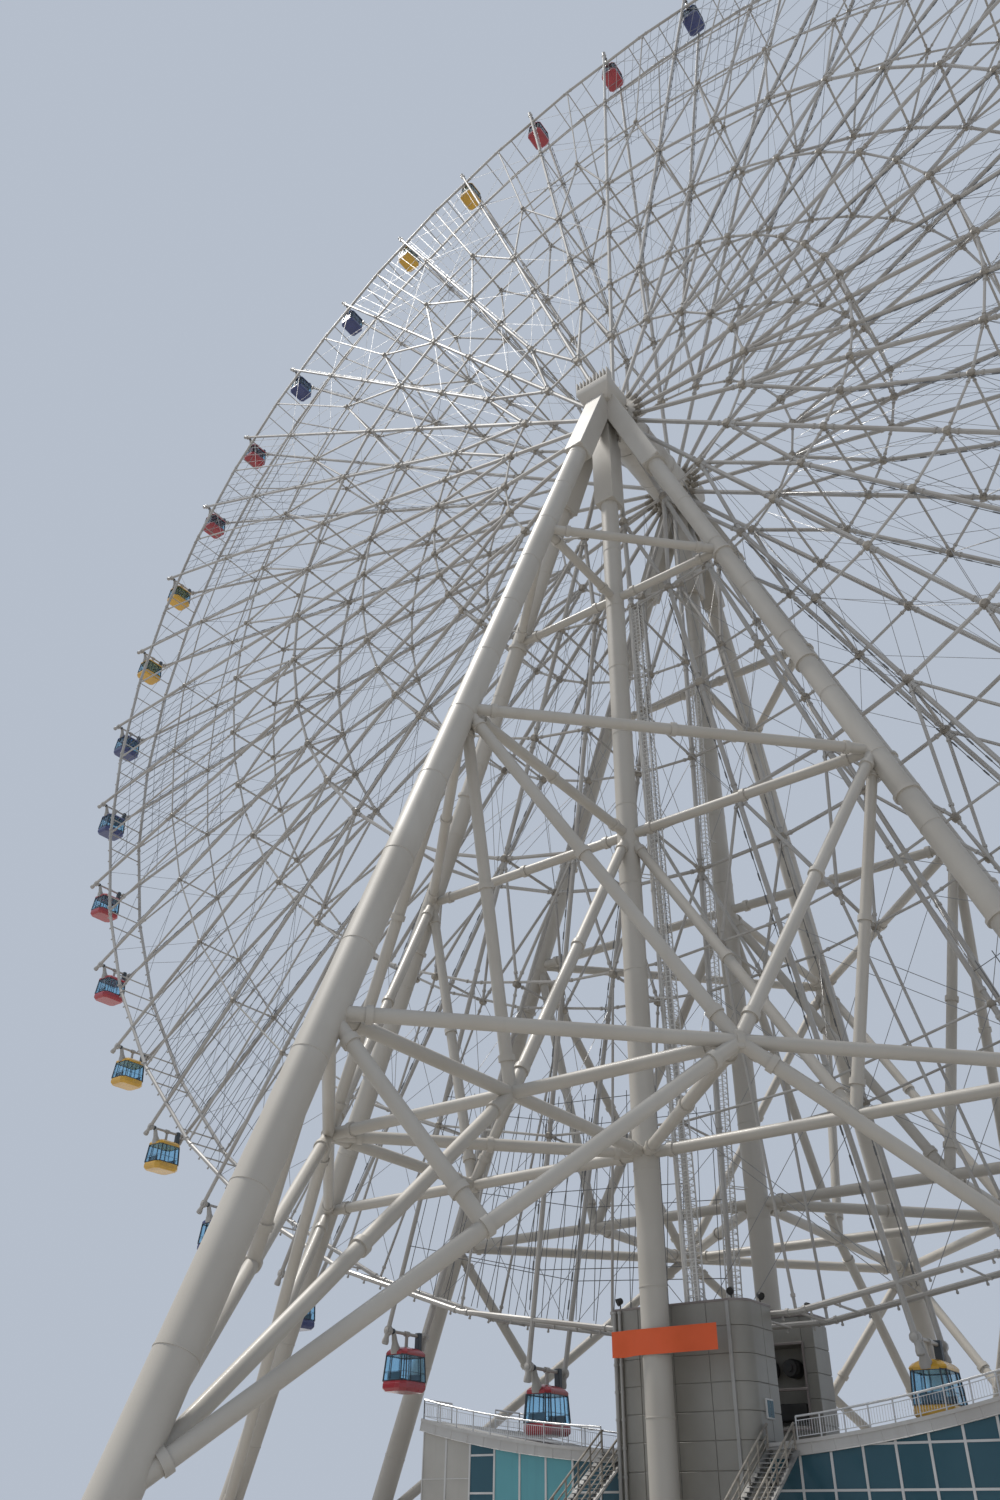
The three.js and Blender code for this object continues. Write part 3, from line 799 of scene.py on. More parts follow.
def hub():
    """The thick drum with its seam rings and two flanges, the bolts round them and the shaft ends."""
    core = open_piece("hub_core")
    outer, inner, shaft_end = HUB_HALF + 0.025, HUB_HALF - 0.025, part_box("hub_drum")[1].y
    shaft, plate, body, seam = SHAFT_RADIUS, PLATE_RADIUS, DRUM_RADIUS, DRUM_RADIUS + 0.007
    half = [(-shaft_end, 0.05), (0.01 - shaft_end, shaft), (-outer, shaft), (-outer, plate - 0.007),
            (0.006 - outer, plate), (-inner - 0.006, plate), (-inner, plate - 0.007),
            (-inner, body + 0.014), (0.05 - inner, body), (-0.243, body), (-0.241, seam),
            (-0.217, seam), (-0.215, body)]
    profile = half + [(-at, radius) for at, radius in reversed(half)]
    start = Vector((0, -shaft_end, AXLE.z))
    drawn_out(start, Y_AXIS, [(at + shaft_end, radius) for at, radius in profile], 48)
    pieces = [close_piece(core, HUB_PAINT)]
    bolts = open_piece("hub_bolts")
    for side in (-1, 1):
        for radius in (0.09, 0.16):
            bolt(Vector((radius, side * outer, AXLE.z)), Y_AXIS * side, 0.007, 0.005, 0.004, 0.008)
        rib, half_rib = Vector((0, side * (inner - 0.03), AXLE.z + body + 0.012)), Vector((0.004, 0.03, 0.02))
        slab(rib - half_rib, rib + half_rib, 0.001)
        foot = Vector((0.03, side * (inner - 0.001), AXLE.z + body + 0.022))
        bolt(foot, -Y_AXIS * side, 0.008, 0.012, 0.005, 0.022)
    spun(HUB_BOLTS - 1, math.radians(360 / HUB_BOLTS))
    pieces.append(close_piece(bolts, NODE_STEEL))
    return joined("hub_shell", pieces)


def build_wheel():
    near_face = joined("near_face_lattice", [near_face_pair(), near_knots(), near_rim()])
    far_face = mirrored(near_face, "far_face_lattice")
    ready(near_face, "wheel", ["near_face"])
    ready(far_face, "wheel", ["far_face"])
    ready(wheel_ties(), "wheel")
    for piece in (wheel_cables(), light_racks(), lamp_strips()):
        ready(piece, "wheel")
    ready(hub(), "wheel", ["hub_drum"])


build_wheel()


# The towers. Everything is drawn for the near side and mirrored for the far side.

def at_height(key, z):
    """Where a tower member passes a height."""
    return FEET[key].lerp(Vector((0, -TOWER_Y, MEET_Z)), z / MEET_Z)


def at_level(z):
    """Where all members of the tower pass a height."""
    return {key: at_height(key, z) for key in FEET}


def leg_tube(key, top_z):
    """A tapered leg with its weld seams. The two side legs are bolted together with flanges as well."""
    foot = FEET[key]
    direction = (at_height(key, MEET_Z) - foot).normalized()
    length = top_z / direction.z
    at_foot, at_top = LEG_RADII[key]
    flanges = [z / direction.z for z in LEG_FLANGES] if key in ("left", "right") else []
    seams = [step * SEAM_EVERY for step in range(1, int(length / SEAM_EVERY) + 1)]
    seams = [at for at in seams if min((abs(at - flange) for flange in flanges), default=1) > 0.1]
    sections = [(0.02, at_foot)]
    for at in sorted(flanges + seams):
        here = at_foot + (at_top - at_foot) * at / length
        half, lip = (0.011, 0.013) if at in flanges else (0.003, 0.0022)
        sections += [(at - half - 0.001, here), (at - half, here + lip), (at + half, here + lip),
                     (at + half + 0.001, here)]
    sections.append((length, at_top))
    drawn_out(foot, direction, sections, 36)


def leg_base(key):
    """The base plate with its ring, stiffeners and, halfway between these, anchor bolts."""
    foot = FEET[key]
    top = foot + Z_AXIS * BASE_THICK
    slab(foot - Vector((BASE_HALF, BASE_HALF, 0)), top + Vector((BASE_HALF, BASE_HALF, 0)), 0.004)
    drawn_out(top, Z_AXIS, [(0, 0.122), (0.008, 0.122), (0.010, 0.118)], 28)
    half_step = math.radians(22.5)
    for step in range(8):
        angle = half_step * (2 * step + 1)
        outward = Vector((math.cos(angle), math.sin(angle), 0))
        bpy.ops.mesh.primitive_cube_add(size=1, location=foot + outward * 0.1 + Z_AXIS * 0.062,
                                        rotation=(0, 0, angle), scale=(0.045, 0.006, 0.055))
        bolt(top + Matrix.Rotation(half_step, 3, "Z") @ outward * 0.138, Z_AXIS, 0.010, 0.010, 0.005, 0.022)


def tower_brace(start, end):
    """A brace with flanges near its ends, and in its middle where it is long."""
    length = (end - start).length
    inset = min(0.17, length * 0.26)
    joints = [inset, length - inset]
    if length > 1.5:
        joints.insert(1, length / 2)
    tube(start, end, BRACE, joints=joints, lip=0.009, band=0.032, sides=16)


def ring_of_braces(z):
    """The braces between the members at one height. The raker is braced to the other three."""
    at = at_level(z)
    for start, end in (("raker", "right"), ("raker", "left"), ("raker", "post"), ("left", "post"),
                       ("post", "right")):
        tower_brace(at[start], at[end])


def box_head(key):
    """The welded box that carries a leg on up to the bearing block, with a plate where the tube ends."""
    start = at_height(key, HEAD_Z)
    end = at_height(key, HEAD_END_Z)
    beam(start, end, BOX_HEAD, BOX_HEAD, 0.006)
    along = (end - start).normalized()
    disc(start - along * 0.012, along, 0.088, 0.012, 36)


def bearing_block():
    """The block over the meeting of the legs, sloped below, with a row of fins along its outer edge."""
    block = open_piece("bearing_block")
    half_x, outer, inner, low, top = BLOCK.values()
    centre = Vector((0, (outer + inner) / 2, low))
    slab((-half_x, outer, low), (half_x, inner, top))
    select_faces(block, lambda centre, normal: normal.z < -0.9)
    bpy.ops.mesh.extrude_region_move(TRANSFORM_OT_translate={"value": (0, 0.02, -0.13)})
    bpy.ops.transform.resize(value=(0.7, 0.66, 1), center_override=centre)
    bpy.ops.mesh.select_all(action="SELECT")
    soften_edges(0.004)
    for step in range(FINS):
        x = -half_x + 0.006 + (2 * half_x - 0.012) * step / (FINS - 1)
        slab((x - 0.0055, outer + 0.002, top - 0.002), (x + 0.0055, outer + 0.085, top + 0.10), 0.001)
    for x1, x2 in ((-half_x + 0.03, -half_x + 0.002), (half_x - 0.03, half_x - 0.002)):
        for step in range(4):
            y = outer + 0.06 + 0.075 * step
            slab((x1, y - 0.003, top - 0.002), (x2, y + 0.003, top + 0.035), 0.001)
    housing = Vector((0, -0.74, AXLE.z))
    drawn_out(housing, Y_AXIS, [(0, 0.098), (0.174, 0.098), (0.177, 0.092), (0.177, BEARING_BORE)], 32)
    return close_piece(block, TOWER_PAINT)


def tower_head():
    """The post with its box head, the heads of the other legs, the top ring and the bearing block."""
    head = open_piece("post_and_head")
    leg_tube("post", POST_HEAD_Z + 0.02)
    leg_base("post")
    start = Vector((0, -TOWER_Y, POST_HEAD_Z))
    wide, narrow = POST_BOX / math.sqrt(2), POST_NECK / math.sqrt(2)
    drawn_out(start, Z_AXIS, [(0, wide * 0.96), (0.006, wide), (0.72, wide), (0.82, narrow),
                              (1.29, narrow)], 4)
    for key in ("left", "right", "raker"):
        box_head(key)
    ring_of_braces(TOP_RING_Z)
    return joined("near_post_shell", [close_piece(head, TOWER_PAINT), bearing_block()])


def tower_leg(key):
    """A leg up to its box head, on its base plate."""
    leg = open_piece(f"near_{key}_shell")
    leg_tube(key, HEAD_Z + 0.01)
    cut_at_floor(0.002)
    leg_base(key)
    return close_piece(leg, TOWER_PAINT)


def tower_bracing():
    """The middle and lower rings, the diagonals between them and down to the feet."""
    bracing = open_piece("near_bracing_shell")
    ring_of_braces(MIDDLE_RING_Z)
    ring_of_braces(LOWER_RING_Z)
    middle, lower, foot = at_level(MIDDLE_RING_Z), at_level(LOWER_RING_Z), at_level(BRACE_FOOT_Z)
    right_out = (lower["raker"] + lower["right"]) / 2
    left_out = (lower["raker"] + lower["left"]) / 2
    centre = (lower["raker"] + lower["post"]) / 2
    left_in = (lower["left"] + lower["post"]) / 2
    right_in = (lower["post"] + lower["right"]) / 2
    across = [(right_out, left_out), (right_out, right_in), (left_out, left_in),
              (right_out, lower["post"]), (left_out, lower["post"])]
    hung = [("raker", right_out), ("raker", left_out), ("raker", centre), ("right", right_out),
            ("right", right_in), ("left", left_out), ("left", left_in), ("post", centre),
            ("post", left_in), ("post", right_in)]
    down = [(centre, foot["raker"]), (right_out, foot["raker"]), (right_out, foot["right"]),
            (left_out, foot["raker"]), (left_out, foot["left"])]
    short = [(lower[key], (out + foot[key]) / 2) for key, out in (
        ("raker", right_out), ("raker", left_out), ("right", right_out), ("left", left_out))]
    for start, end in across + [(middle[key], meeting) for key, meeting in hung] + down + short:
        tower_brace(start, end)
    for meeting in (right_out, left_out, centre, left_in, right_in):
        drum(meeting - Z_AXIS * 0.042, Z_AXIS, 0.084, 0.038, 0.006, 0.032, 16)
    return close_piece(bracing, TOWER_PAINT)


def ladder_mast(name, foot, up):
    """A slender mast of four tubes with rungs on every side, from a house roof up, tied to the post."""
    mast = open_piece(name)
    corners = [Vector((x, y, 0)) * MAST_HALF for x, y in ((-1, -1), (1, -1), (1, 1), (-1, 1))]
    for corner, following in zip(corners, corners[1:] + corners[:1]):
        low, next_low = foot + corner, foot + following
        wire(low, low + up, MAST_TUBE, 4)
        for step in range(4):
            wire(low + up * step / 4, next_low + up * step / 4, MAST_RUNG)
        wire(low, next_low + up / 2, MAST_DIAGONAL)
    bpy.ops.mesh.select_all(action="SELECT")
    for step in range(MAST_PANELS - 1):
        bpy.ops.mesh.duplicate_move(TRANSFORM_OT_translate={"value": up})
    post_y = math.copysign(TOWER_Y, foot.y)
    for step in range(TIED_EVERY, MAST_PANELS, TIED_EVERY):
        here = foot + up * step
        for side in (-1, 1):
            wire(here + X_AXIS * side * MAST_HALF, Vector((side * 0.03, post_y, here.z)), 0.0035, 5)
    return close_piece(mast, MAST_PAINT)


def mast_pole(foot, up):
    """The pale pole close along the near mast, in sleeved lengths, and the beaded cable beside it."""
    pole = open_piece("near_mast_pole")
    start = foot - X_AXIS * (MAST_HALF + 0.020)
    height = up * MAST_PANELS
    sleeves = [height.length * step / 6 for step in range(1, 6)]
    tube(start, start + height, 0.015, joints=sleeves, lip=0.003, band=0.02, sides=12)
    for step in range(TIED_EVERY // 2, MAST_PANELS, TIED_EVERY):
        here = foot + up * step
        wire(here - X_AXIS * (MAST_HALF + 0.020), here - X_AXIS * MAST_HALF, 0.003, 4)
    pieces = [close_piece(pole, MAST_PAINT)]
    cable = open_piece("near_mast_cable")
    start = foot + X_AXIS * (MAST_HALF - 0.008) + up * CABLE_FROM_PANEL
    panels = MAST_PANELS - CABLE_FROM_PANEL
    wire(start, start + up * panels, 0.003, 6)
    for step in range(panels):
        drum(start + up * (step + 0.5), Z_AXIS, 0.015, 0.0055, 0.003, 0.003, 6)
    pieces.append(close_piece(cable, RACK_STEEL))
    return joined("near_mast_pole", pieces)


def build_towers():
    """The two towers, alike but for their ladder masts."""
    pieces = {"post": tower_head(), "left_leg": tower_leg("left"), "right_leg": tower_leg("right"),
              "raker": tower_leg("raker"), "bracing": tower_bracing()}
    for part, piece in pieces.items():
        other = mirrored(piece, f"far_{part}_shell")
        ready(piece, "root", [f"near_{part}"])
        ready(other, "root", [f"far_{part}"])
    ready(ladder_mast("near_ladder_mast", *NEAR_MAST), "root")
    ready(mast_pole(*NEAR_MAST), "root")
    ready(ladder_mast("far_ladder_mast", *FAR_MAST), "root")


# The cabins. One is modelled and copied to the forty pivots.

def cabin_ring(pivot, z, inset):
    """The eight corners of the cabin's plan at a height, drawn in by the inset."""
    wide, deep = CABIN_HALF_X - inset, CABIN_HALF_Y - inset
    cut_wide = wide * (1 - CABIN_CORNER / CABIN_HALF_X)
    cut_deep = deep * (1 - CABIN_CORNER / CABIN_HALF_Y)
    quarter = [(wide, -cut_deep), (wide, cut_deep), (cut_wide, deep), (-cut_wide, deep)]
    return [pivot + Vector((x, y, z)) for x, y in quarter + [(-x, -y) for x, y in quarter]]


def cabin_body(pivot, sections):
    """A rectangle with cut corners, drawn upwards. Each section is a height and an inset."""
    z, inset = sections[0]
    centre = pivot + Z_AXIS * z
    wide, deep = CABIN_HALF_X - inset, CABIN_HALF_Y - inset
    bpy.ops.mesh.primitive_circle_add(vertices=4, radius=wide * math.sqrt(2), fill_type="NGON",
                                      location=centre, rotation=(0, 0, math.radians(45)))
    bpy.ops.transform.resize(value=(1, deep / wide, 1), center_override=centre)
    bpy.ops.mesh.bevel(offset=CABIN_CORNER, offset_type="OFFSET", segments=1, affect="VERTICES")
    for next_z, inset in sections[1:]:
        bpy.ops.mesh.extrude_region_move(TRANSFORM_OT_translate={"value": (0, 0, next_z - z)})
        next_wide, next_deep = CABIN_HALF_X - inset, CABIN_HALF_Y - inset
        if next_wide != wide:
            bpy.ops.transform.resize(value=(next_wide / wide, next_deep / deep, 1),
                                     center_override=pivot + Z_AXIS * next_z)
        z, wide, deep = next_z, next_wide, next_deep


def cabin_paintwork(pivot):
    """The coloured skirt with its chamfered underside, and the low roof with its rim."""
    paint = open_piece("cabin_paintwork")
    foot, sill, eaves = CABIN_FOOT, CABIN_SILL, CABIN_EAVES
    cabin_body(pivot, [
        (foot, 0.019), (foot + 0.002, 0.015), (foot + 0.017, 0.002), (foot + 0.021, 0), (foot + 0.044, 0),
        (foot + 0.046, 0.0015), (sill - 0.003, 0.0025), (sill, 0.006),
    ])
    cabin_body(pivot, [
        (eaves - 0.004, 0.020), (eaves - 0.004, 0.011), (eaves + 0.008, 0.008), (eaves + 0.016, 0.012),
        (eaves + 0.030, 0.026), (eaves + 0.042, 0.050), (eaves + 0.049, 0.082),
    ])
    return close_piece(paint, CABIN_FINISH["cabin_red"], smooth=14)


def cabin_frame(pivot):
    """Corner posts, rails and mullions around the windows, and the dark hanger box."""
    dark = open_piece("cabin_frame")
    feet = cabin_ring(pivot, CABIN_SILL, 0.004)
    tops = cabin_ring(pivot, CABIN_EAVES, 0.015)
    for corner in range(8):
        foot, top = feet[corner], tops[corner]
        next_foot, next_top = feet[(corner + 1) % 8], tops[(corner + 1) % 8]
        wire(foot, top, 0.0046, 5)
        for share, radius in ((0.02, 0.003), (0.34, 0.0016), (0.97, 0.0036)):
            wire(foot.lerp(top, share), next_foot.lerp(next_top, share), radius, 4)
        for share in ((0.24, 0.76), (), (0.38,), ())[corner % 4]:
            wire(foot.lerp(next_foot, share), top.lerp(next_top, share), 0.0032, 4)
    slab(pivot + Vector((-0.019, 0.104, -0.095)), pivot + Vector((0.019, 0.138, 0.020)), 0.003)
    beam(pivot + Vector((0, 0.106, -0.122)), pivot + Vector((0, 0.118, -0.088)), 0.016, 0.012)
    disc(pivot - Y_AXIS * 0.152, Y_AXIS, 0.0185, 0.016, 10)
    return close_piece(dark, CABIN_FRAME)


def cabin_glazing(pivot):
    """One thin band of tinted glass around the eight sides."""
    glass = open_piece("cabin_glass_band")
    low, high = CABIN_SILL + 0.001, CABIN_EAVES - 0.001
    cabin_body(pivot, [(low, 0.006), (high, 0.017), (high, 0.019), (low + 0.001, 0.008)])
    return close_piece(glass, CABIN_GLASS, smooth=10)


def cabin_inside(pivot):
    """Two facing benches with backs."""
    seats = open_piece("cabin_benches")
    seat = (0.052, 0.096, 0.002, 0.014, 0.003)
    back = (0.097, 0.103, 0.014, 0.052, 0.002)
    for side in (-1, 1):
        for y1, y2, low, high, soften in (seat, back):
            slab(pivot + Vector((-BENCH_HALF, side * y1, CABIN_SILL + low)),
                 pivot + Vector((BENCH_HALF, side * y2, CABIN_SILL + high)), soften)
    return close_piece(seats, CABIN_SEAT)


def cabin_hanger(pivot):
    """The cross shaft between the two faces, the hanger post and the pale cone over the roof edge."""
    hanger = open_piece("cabin_hanger")
    shaft = [(0, 0.011), (0.004, 0.014), (0.030, 0.014), (0.030, 0.010), (0.150, 0.010), (0.150, 0.017),
             (0.189, 0.017), (0.189, 0.010), (0.309, 0.010), (0.309, 0.014), (0.335, 0.014), (0.339, 0.011)]
    drawn_out(pivot - Y_AXIS * 0.1695, Y_AXIS, shaft, 10)
    post = [(0, 0.024), (0.008, 0.024), (0.012, 0.012), (0.086, 0.011)]
    drawn_out(pivot - Z_AXIS * 0.088, Z_AXIS, post, 10)
    cone = [(0, 0.034), (0.020, 0.034), (0.060, 0.021), (0.127, 0.014)]
    drawn_out(pivot + Vector((0, -0.098, -0.124)), Vector((0, -0.036, 0.122)), cone, 12)
    return close_piece(hanger, WHEEL_PAINT)


def build_cabins():
    """The cabins on their pivots, each in the colour that the record gives it."""
    slots = {part["node"]: part["material_slot"] for part in frame["record"]["subparts"]}
    first = JOINT_AT["cabin_01_swing"]
    model = joined("cabin_model", [cabin_paintwork(first), cabin_frame(first), cabin_glazing(first),
                                   cabin_inside(first), cabin_hanger(first)])
    for name in CABINS:
        cabin = copied(model, f"{name}_shell") if name != CABINS[-1] else model
        rename(cabin, f"{name}_shell")
        shifted(cabin, JOINT_AT[f"{name}_swing"] - first)
        cabin.data.materials[0] = CABIN_FINISH[slots[name]]
        ready(cabin, name, [name])


build_towers()
build_cabins()


# The boarding station: the curved deck, the halls below it, two machine houses and two stairs

def deck_height(x, radius=DECK_RADIUS):
    """The height of a circle about the axle, below the wheel."""
    return AXLE.z - math.sqrt(radius ** 2 - x ** 2)


def underside(x):
    """The height of the deck's underside."""
    return deck_height(x, DECK_RADIUS + DECK_THICK)


def swept(x1, x2, y1, y2, inner, outer):
    """A band between two radii about the axle, swept along the deck's curve from one x to another."""
    start, end = math.asin(x1 / inner), math.asin(x2 / inner)
    outward = Vector((math.sin(start), 0, -math.cos(start)))
    centre = AXLE + outward * (inner + outer) / 2 + Y_AXIS * (y1 + y2) / 2
    facing = Matrix((outward, Y_AXIS, outward.cross(Y_AXIS))).transposed()
    bpy.ops.mesh.primitive_plane_add(size=1, location=centre, rotation=facing.to_euler())
    bpy.ops.transform.resize(value=(outer - inner, y2 - y1, outer - inner), center_override=centre)
    steps = max(1, round((x2 - x1) / DECK_STEP))
    bpy.ops.mesh.spin(steps=steps, dupli=False, angle=end - start, use_auto_merge=False,
                      center=AXLE, axis=Y_AXIS)


DECK_PIECES = (
    (-DECK_HALF_X, HOUSE["left"], -DECK_HALF_Y, DECK_HALF_Y),
    (HOUSE["left"], HOUSE["right"], HOUSE["back"] + 0.001, FAR_HOUSE["back"] - 0.001),
    (HOUSE["right"], DECK_HALF_X, -DECK_HALF_Y, DECK_HALF_Y),
    (FAR_HOUSE["right"], HOUSE["right"], FAR_HOUSE["back"], DECK_HALF_Y),
)


def boarding_deck():
    """The deck plate with panelled edges, a nosing along each edge and the walking surface."""
    deck = open_piece("deck_edge")
    for x1, x2, y1, y2 in DECK_PIECES:
        swept(x1, x2, y1, y2, DECK_RADIUS + 0.004, DECK_RADIUS + DECK_THICK)
    select_faces(deck, lambda centre, normal: abs(normal.y) > 0.9 and abs(centre.y) > 0.4)
    bpy.ops.mesh.inset(thickness=0.004, depth=-0.003, use_individual=True)
    for side in (-1, 1):
        edge = sorted((side * (DECK_HALF_Y - 0.012), side * (DECK_HALF_Y + 0.003)))
        swept(-DECK_HALF_X, HOUSE["left"] - 0.01, *edge, DECK_RADIUS - 0.004, DECK_RADIUS + 0.012)
        swept(HOUSE["right"] + 0.01, DECK_HALF_X, *edge, DECK_RADIUS - 0.004, DECK_RADIUS + 0.012)
    floor = open_piece("deck_walkway")
    for x1, x2, y1, y2 in DECK_PIECES[:3]:
        swept(x1 + 0.004, x2 - 0.004, y1 + 0.012, y2 - 0.012, DECK_RADIUS, DECK_RADIUS + 0.005)
    return joined("boarding_deck_shell", [close_piece(deck, DECK_WHITE), close_piece(floor, DECK_FLOOR)])


def deck_line(x1, x2, y):
    """Points along the deck's edge, about one rail step apart."""
    count = max(1, round(abs(x2 - x1) / RAIL_STEP))
    places = [x1 + (x2 - x1) * step / count for step in range(count + 1)]
    return [Vector((x, y, deck_height(x))) for x in places]


def railing(points):
    """A guard rail along a line of points: posts, a bright top rail, two thin rails and fine balusters."""
    for low, next_low in zip(points, points[1:]):
        wire(low + Z_AXIS * RAIL_HIGH, next_low + Z_AXIS * RAIL_HIGH, TOP_RAIL, 8)
        for z in (RAIL_GAP, RAIL_HIGH - RAIL_GAP):
            wire(low + Z_AXIS * z, next_low + Z_AXIS * z, THIN_RAIL, 4)
        for step in range(1, BALUSTERS):
            foot = low.lerp(next_low, step / BALUSTERS)
            wire(foot + Z_AXIS * RAIL_GAP, foot + Z_AXIS * (RAIL_HIGH - RAIL_GAP), BALUSTER)
    for point in points:
        wire(point, point + Z_AXIS * RAIL_HIGH, RAIL_POST, 6)


def deck_railings():
    """Railings along both edges of the deck, round its corners and up to the stairs and houses."""
    rails = open_piece("deck_railings")
    edge = DECK_HALF_Y - 0.008
    end = DECK_HALF_X - 0.012
    for points in (
        deck_line(-end, LEFT_STAIR[0] - 0.008, -edge), deck_line(RIGHT_STAIR[1] + 0.008, end, -edge),
        deck_line(-end, FAR_HOUSE["left"] - 0.012, edge), deck_line(FAR_HOUSE["right"] + 0.012, end, edge),
    ):
        railing(points)
    for x in (-end, end):
        for side in (-1, 1):
            corner = Vector((x, side * edge, deck_height(x)))
            railing([corner, Vector((x, side * 0.35, corner.z)), Vector((x, side * 0.22, corner.z))])
    return close_piece(rails, BRIGHT_RAIL)


def under_deck(x1, x2, y1, y2, low=0.0):
    """A piece of wall from a height up to the deck's curved underside."""
    x1, x2 = sorted((x1, x2))
    slab((x1, y1, low), (x2, y2, 0.75))
    left, right = Vector((x1, 0, underside(x1))), Vector((x2, 0, underside(x2)))
    upward = (right - left).cross(Y_AXIS)
    bpy.ops.mesh.bisect(plane_co=left, plane_no=upward, clear_outer=True, use_fill=True)


def facade(x1, x2, y, outward, kinds):
    """One long wall of a hall: bays of panel, glass or board between mullions, with sill and transoms."""
    bay = (x2 - x1) / len(kinds)
    edges = [x1 + bay * index for index in range(len(kinds) + 1)]
    bays = list(zip(edges, edges[1:], kinds))
    pieces = []
    for skin_kind, material in (("panel", HALL_WALL), ("glass", HALL_GLASS), ("board", SIGN_TEAL)):
        if skin_kind not in kinds:
            continue
        skin = open_piece("hall_skin")
        for start, end in [(start, end) for start, end, kind in bays if kind == skin_kind]:
            under_deck(start + 0.002, end - 0.002, y - outward * 0.012, y - outward * 0.004, low=0.02)
            if skin_kind == "panel":
                for z in PANEL_JOINTS:
                    cut_through(Vector((0, 0, z)), Z_AXIS)
        pieces.append(close_piece(skin, material))
    mullions = open_piece("hall_mullions")
    for x in edges:
        under_deck(max(x1, x - 0.006), min(x2, x + 0.006), y - outward * 0.016, y)
    for start, end, kind in bays:
        heights = {"panel": PANEL_JOINTS, "glass": TRANSOMS, "board": ()}[kind]
        half = 0.002 if kind == "panel" else 0.005
        ceiling = underside(start if start > 0 else end) + 0.02
        for z in [z for z in heights if z < ceiling]:
            slab((start, y - outward * 0.014, z - half), (end, y - outward * 0.001, z + half))
    slab((x1, y - outward * 0.03, 0), (x2, y + outward * 0.001, 0.03), 0.002)
    pieces.append(close_piece(mullions, MULLION_WHITE))
    return pieces


def hall(name, inner_x, outer_x, near_kinds, far_kinds):
    """A hall: two long walls, a plain wall by the house and an end wall with a glazed door."""
    x1, x2 = sorted((inner_x, outer_x))
    pieces = facade(x1, x2, -HALL_FACE, -1, near_kinds) + facade(x1, x2, HALL_FACE, 1, far_kinds)
    walls = open_piece("hall_end_walls")
    inward = math.copysign(HALL_WALL_THICK, inner_x - outer_x)
    inside = outer_x + inward
    top, side = underside(inside) - 0.003, HALL_FACE - 0.014
    for y1, y2, low in ((-side, -0.1, 0), (0.1, side, 0), (-0.1, 0.1, 0.23)):
        slab((inside, y1, low), (outer_x, y2, top), 0.001)
    under_deck(inner_x, inner_x - inward, -side, side)
    pieces.append(close_piece(walls, HALL_WALL))
    door = open_piece("hall_door")
    middle = (inside + outer_x) / 2
    for y in (-DOOR_HALF, -0.003, DOOR_HALF - 0.007):
        slab((middle - 0.008, y, 0), (middle + 0.008, y + 0.007, DOOR_HIGH - 0.001), 0.001)
    slab((middle - 0.008, -DOOR_HALF, DOOR_HIGH - 0.008), (middle + 0.008, DOOR_HALF, DOOR_HIGH), 0.001)
    pieces.append(close_piece(door, MULLION_WHITE))
    panes = open_piece("hall_door_glass")
    for y1, y2 in ((-0.090, -0.004), (0.005, 0.090)):
        slab((middle - 0.002, y1, 0.004), (middle + 0.002, y2, 0.220))
    pieces.append(close_piece(panes, HALL_GLASS))
    return joined(f"{name}_shell", pieces)


def clad(edges, face, outward, top, sideways=False):
    """Metal panels in columns and rows with open joints, on a wall that faces along Y or, sideways, X."""
    for start, end in zip(edges, edges[1:]):
        for row in range(int(top / ROW)):
            corners = [(start + 0.0015, face, row * ROW + 0.003),
                       (end - 0.0015, face - outward * PANEL_THICK, (row + 1) * ROW - 0.001)]
            if sideways:
                corners = [(deep, along, z) for along, deep, z in corners]
            slab(*corners, 0.0012)


def house_lamp(point, toward):
    """A floodlight on a short bracket at the edge of a roof."""
    wire(point, point + Z_AXIS * 0.035, 0.004, 6)
    back = point + Z_AXIS * 0.045 - toward * 0.014
    head = [(0, 0.010), (0.006, 0.016), (0.03, 0.020), (0.034, 0.020), (0.034, 0.017), (0.030, 0.017)]
    drawn_out(back, toward, head, 12)


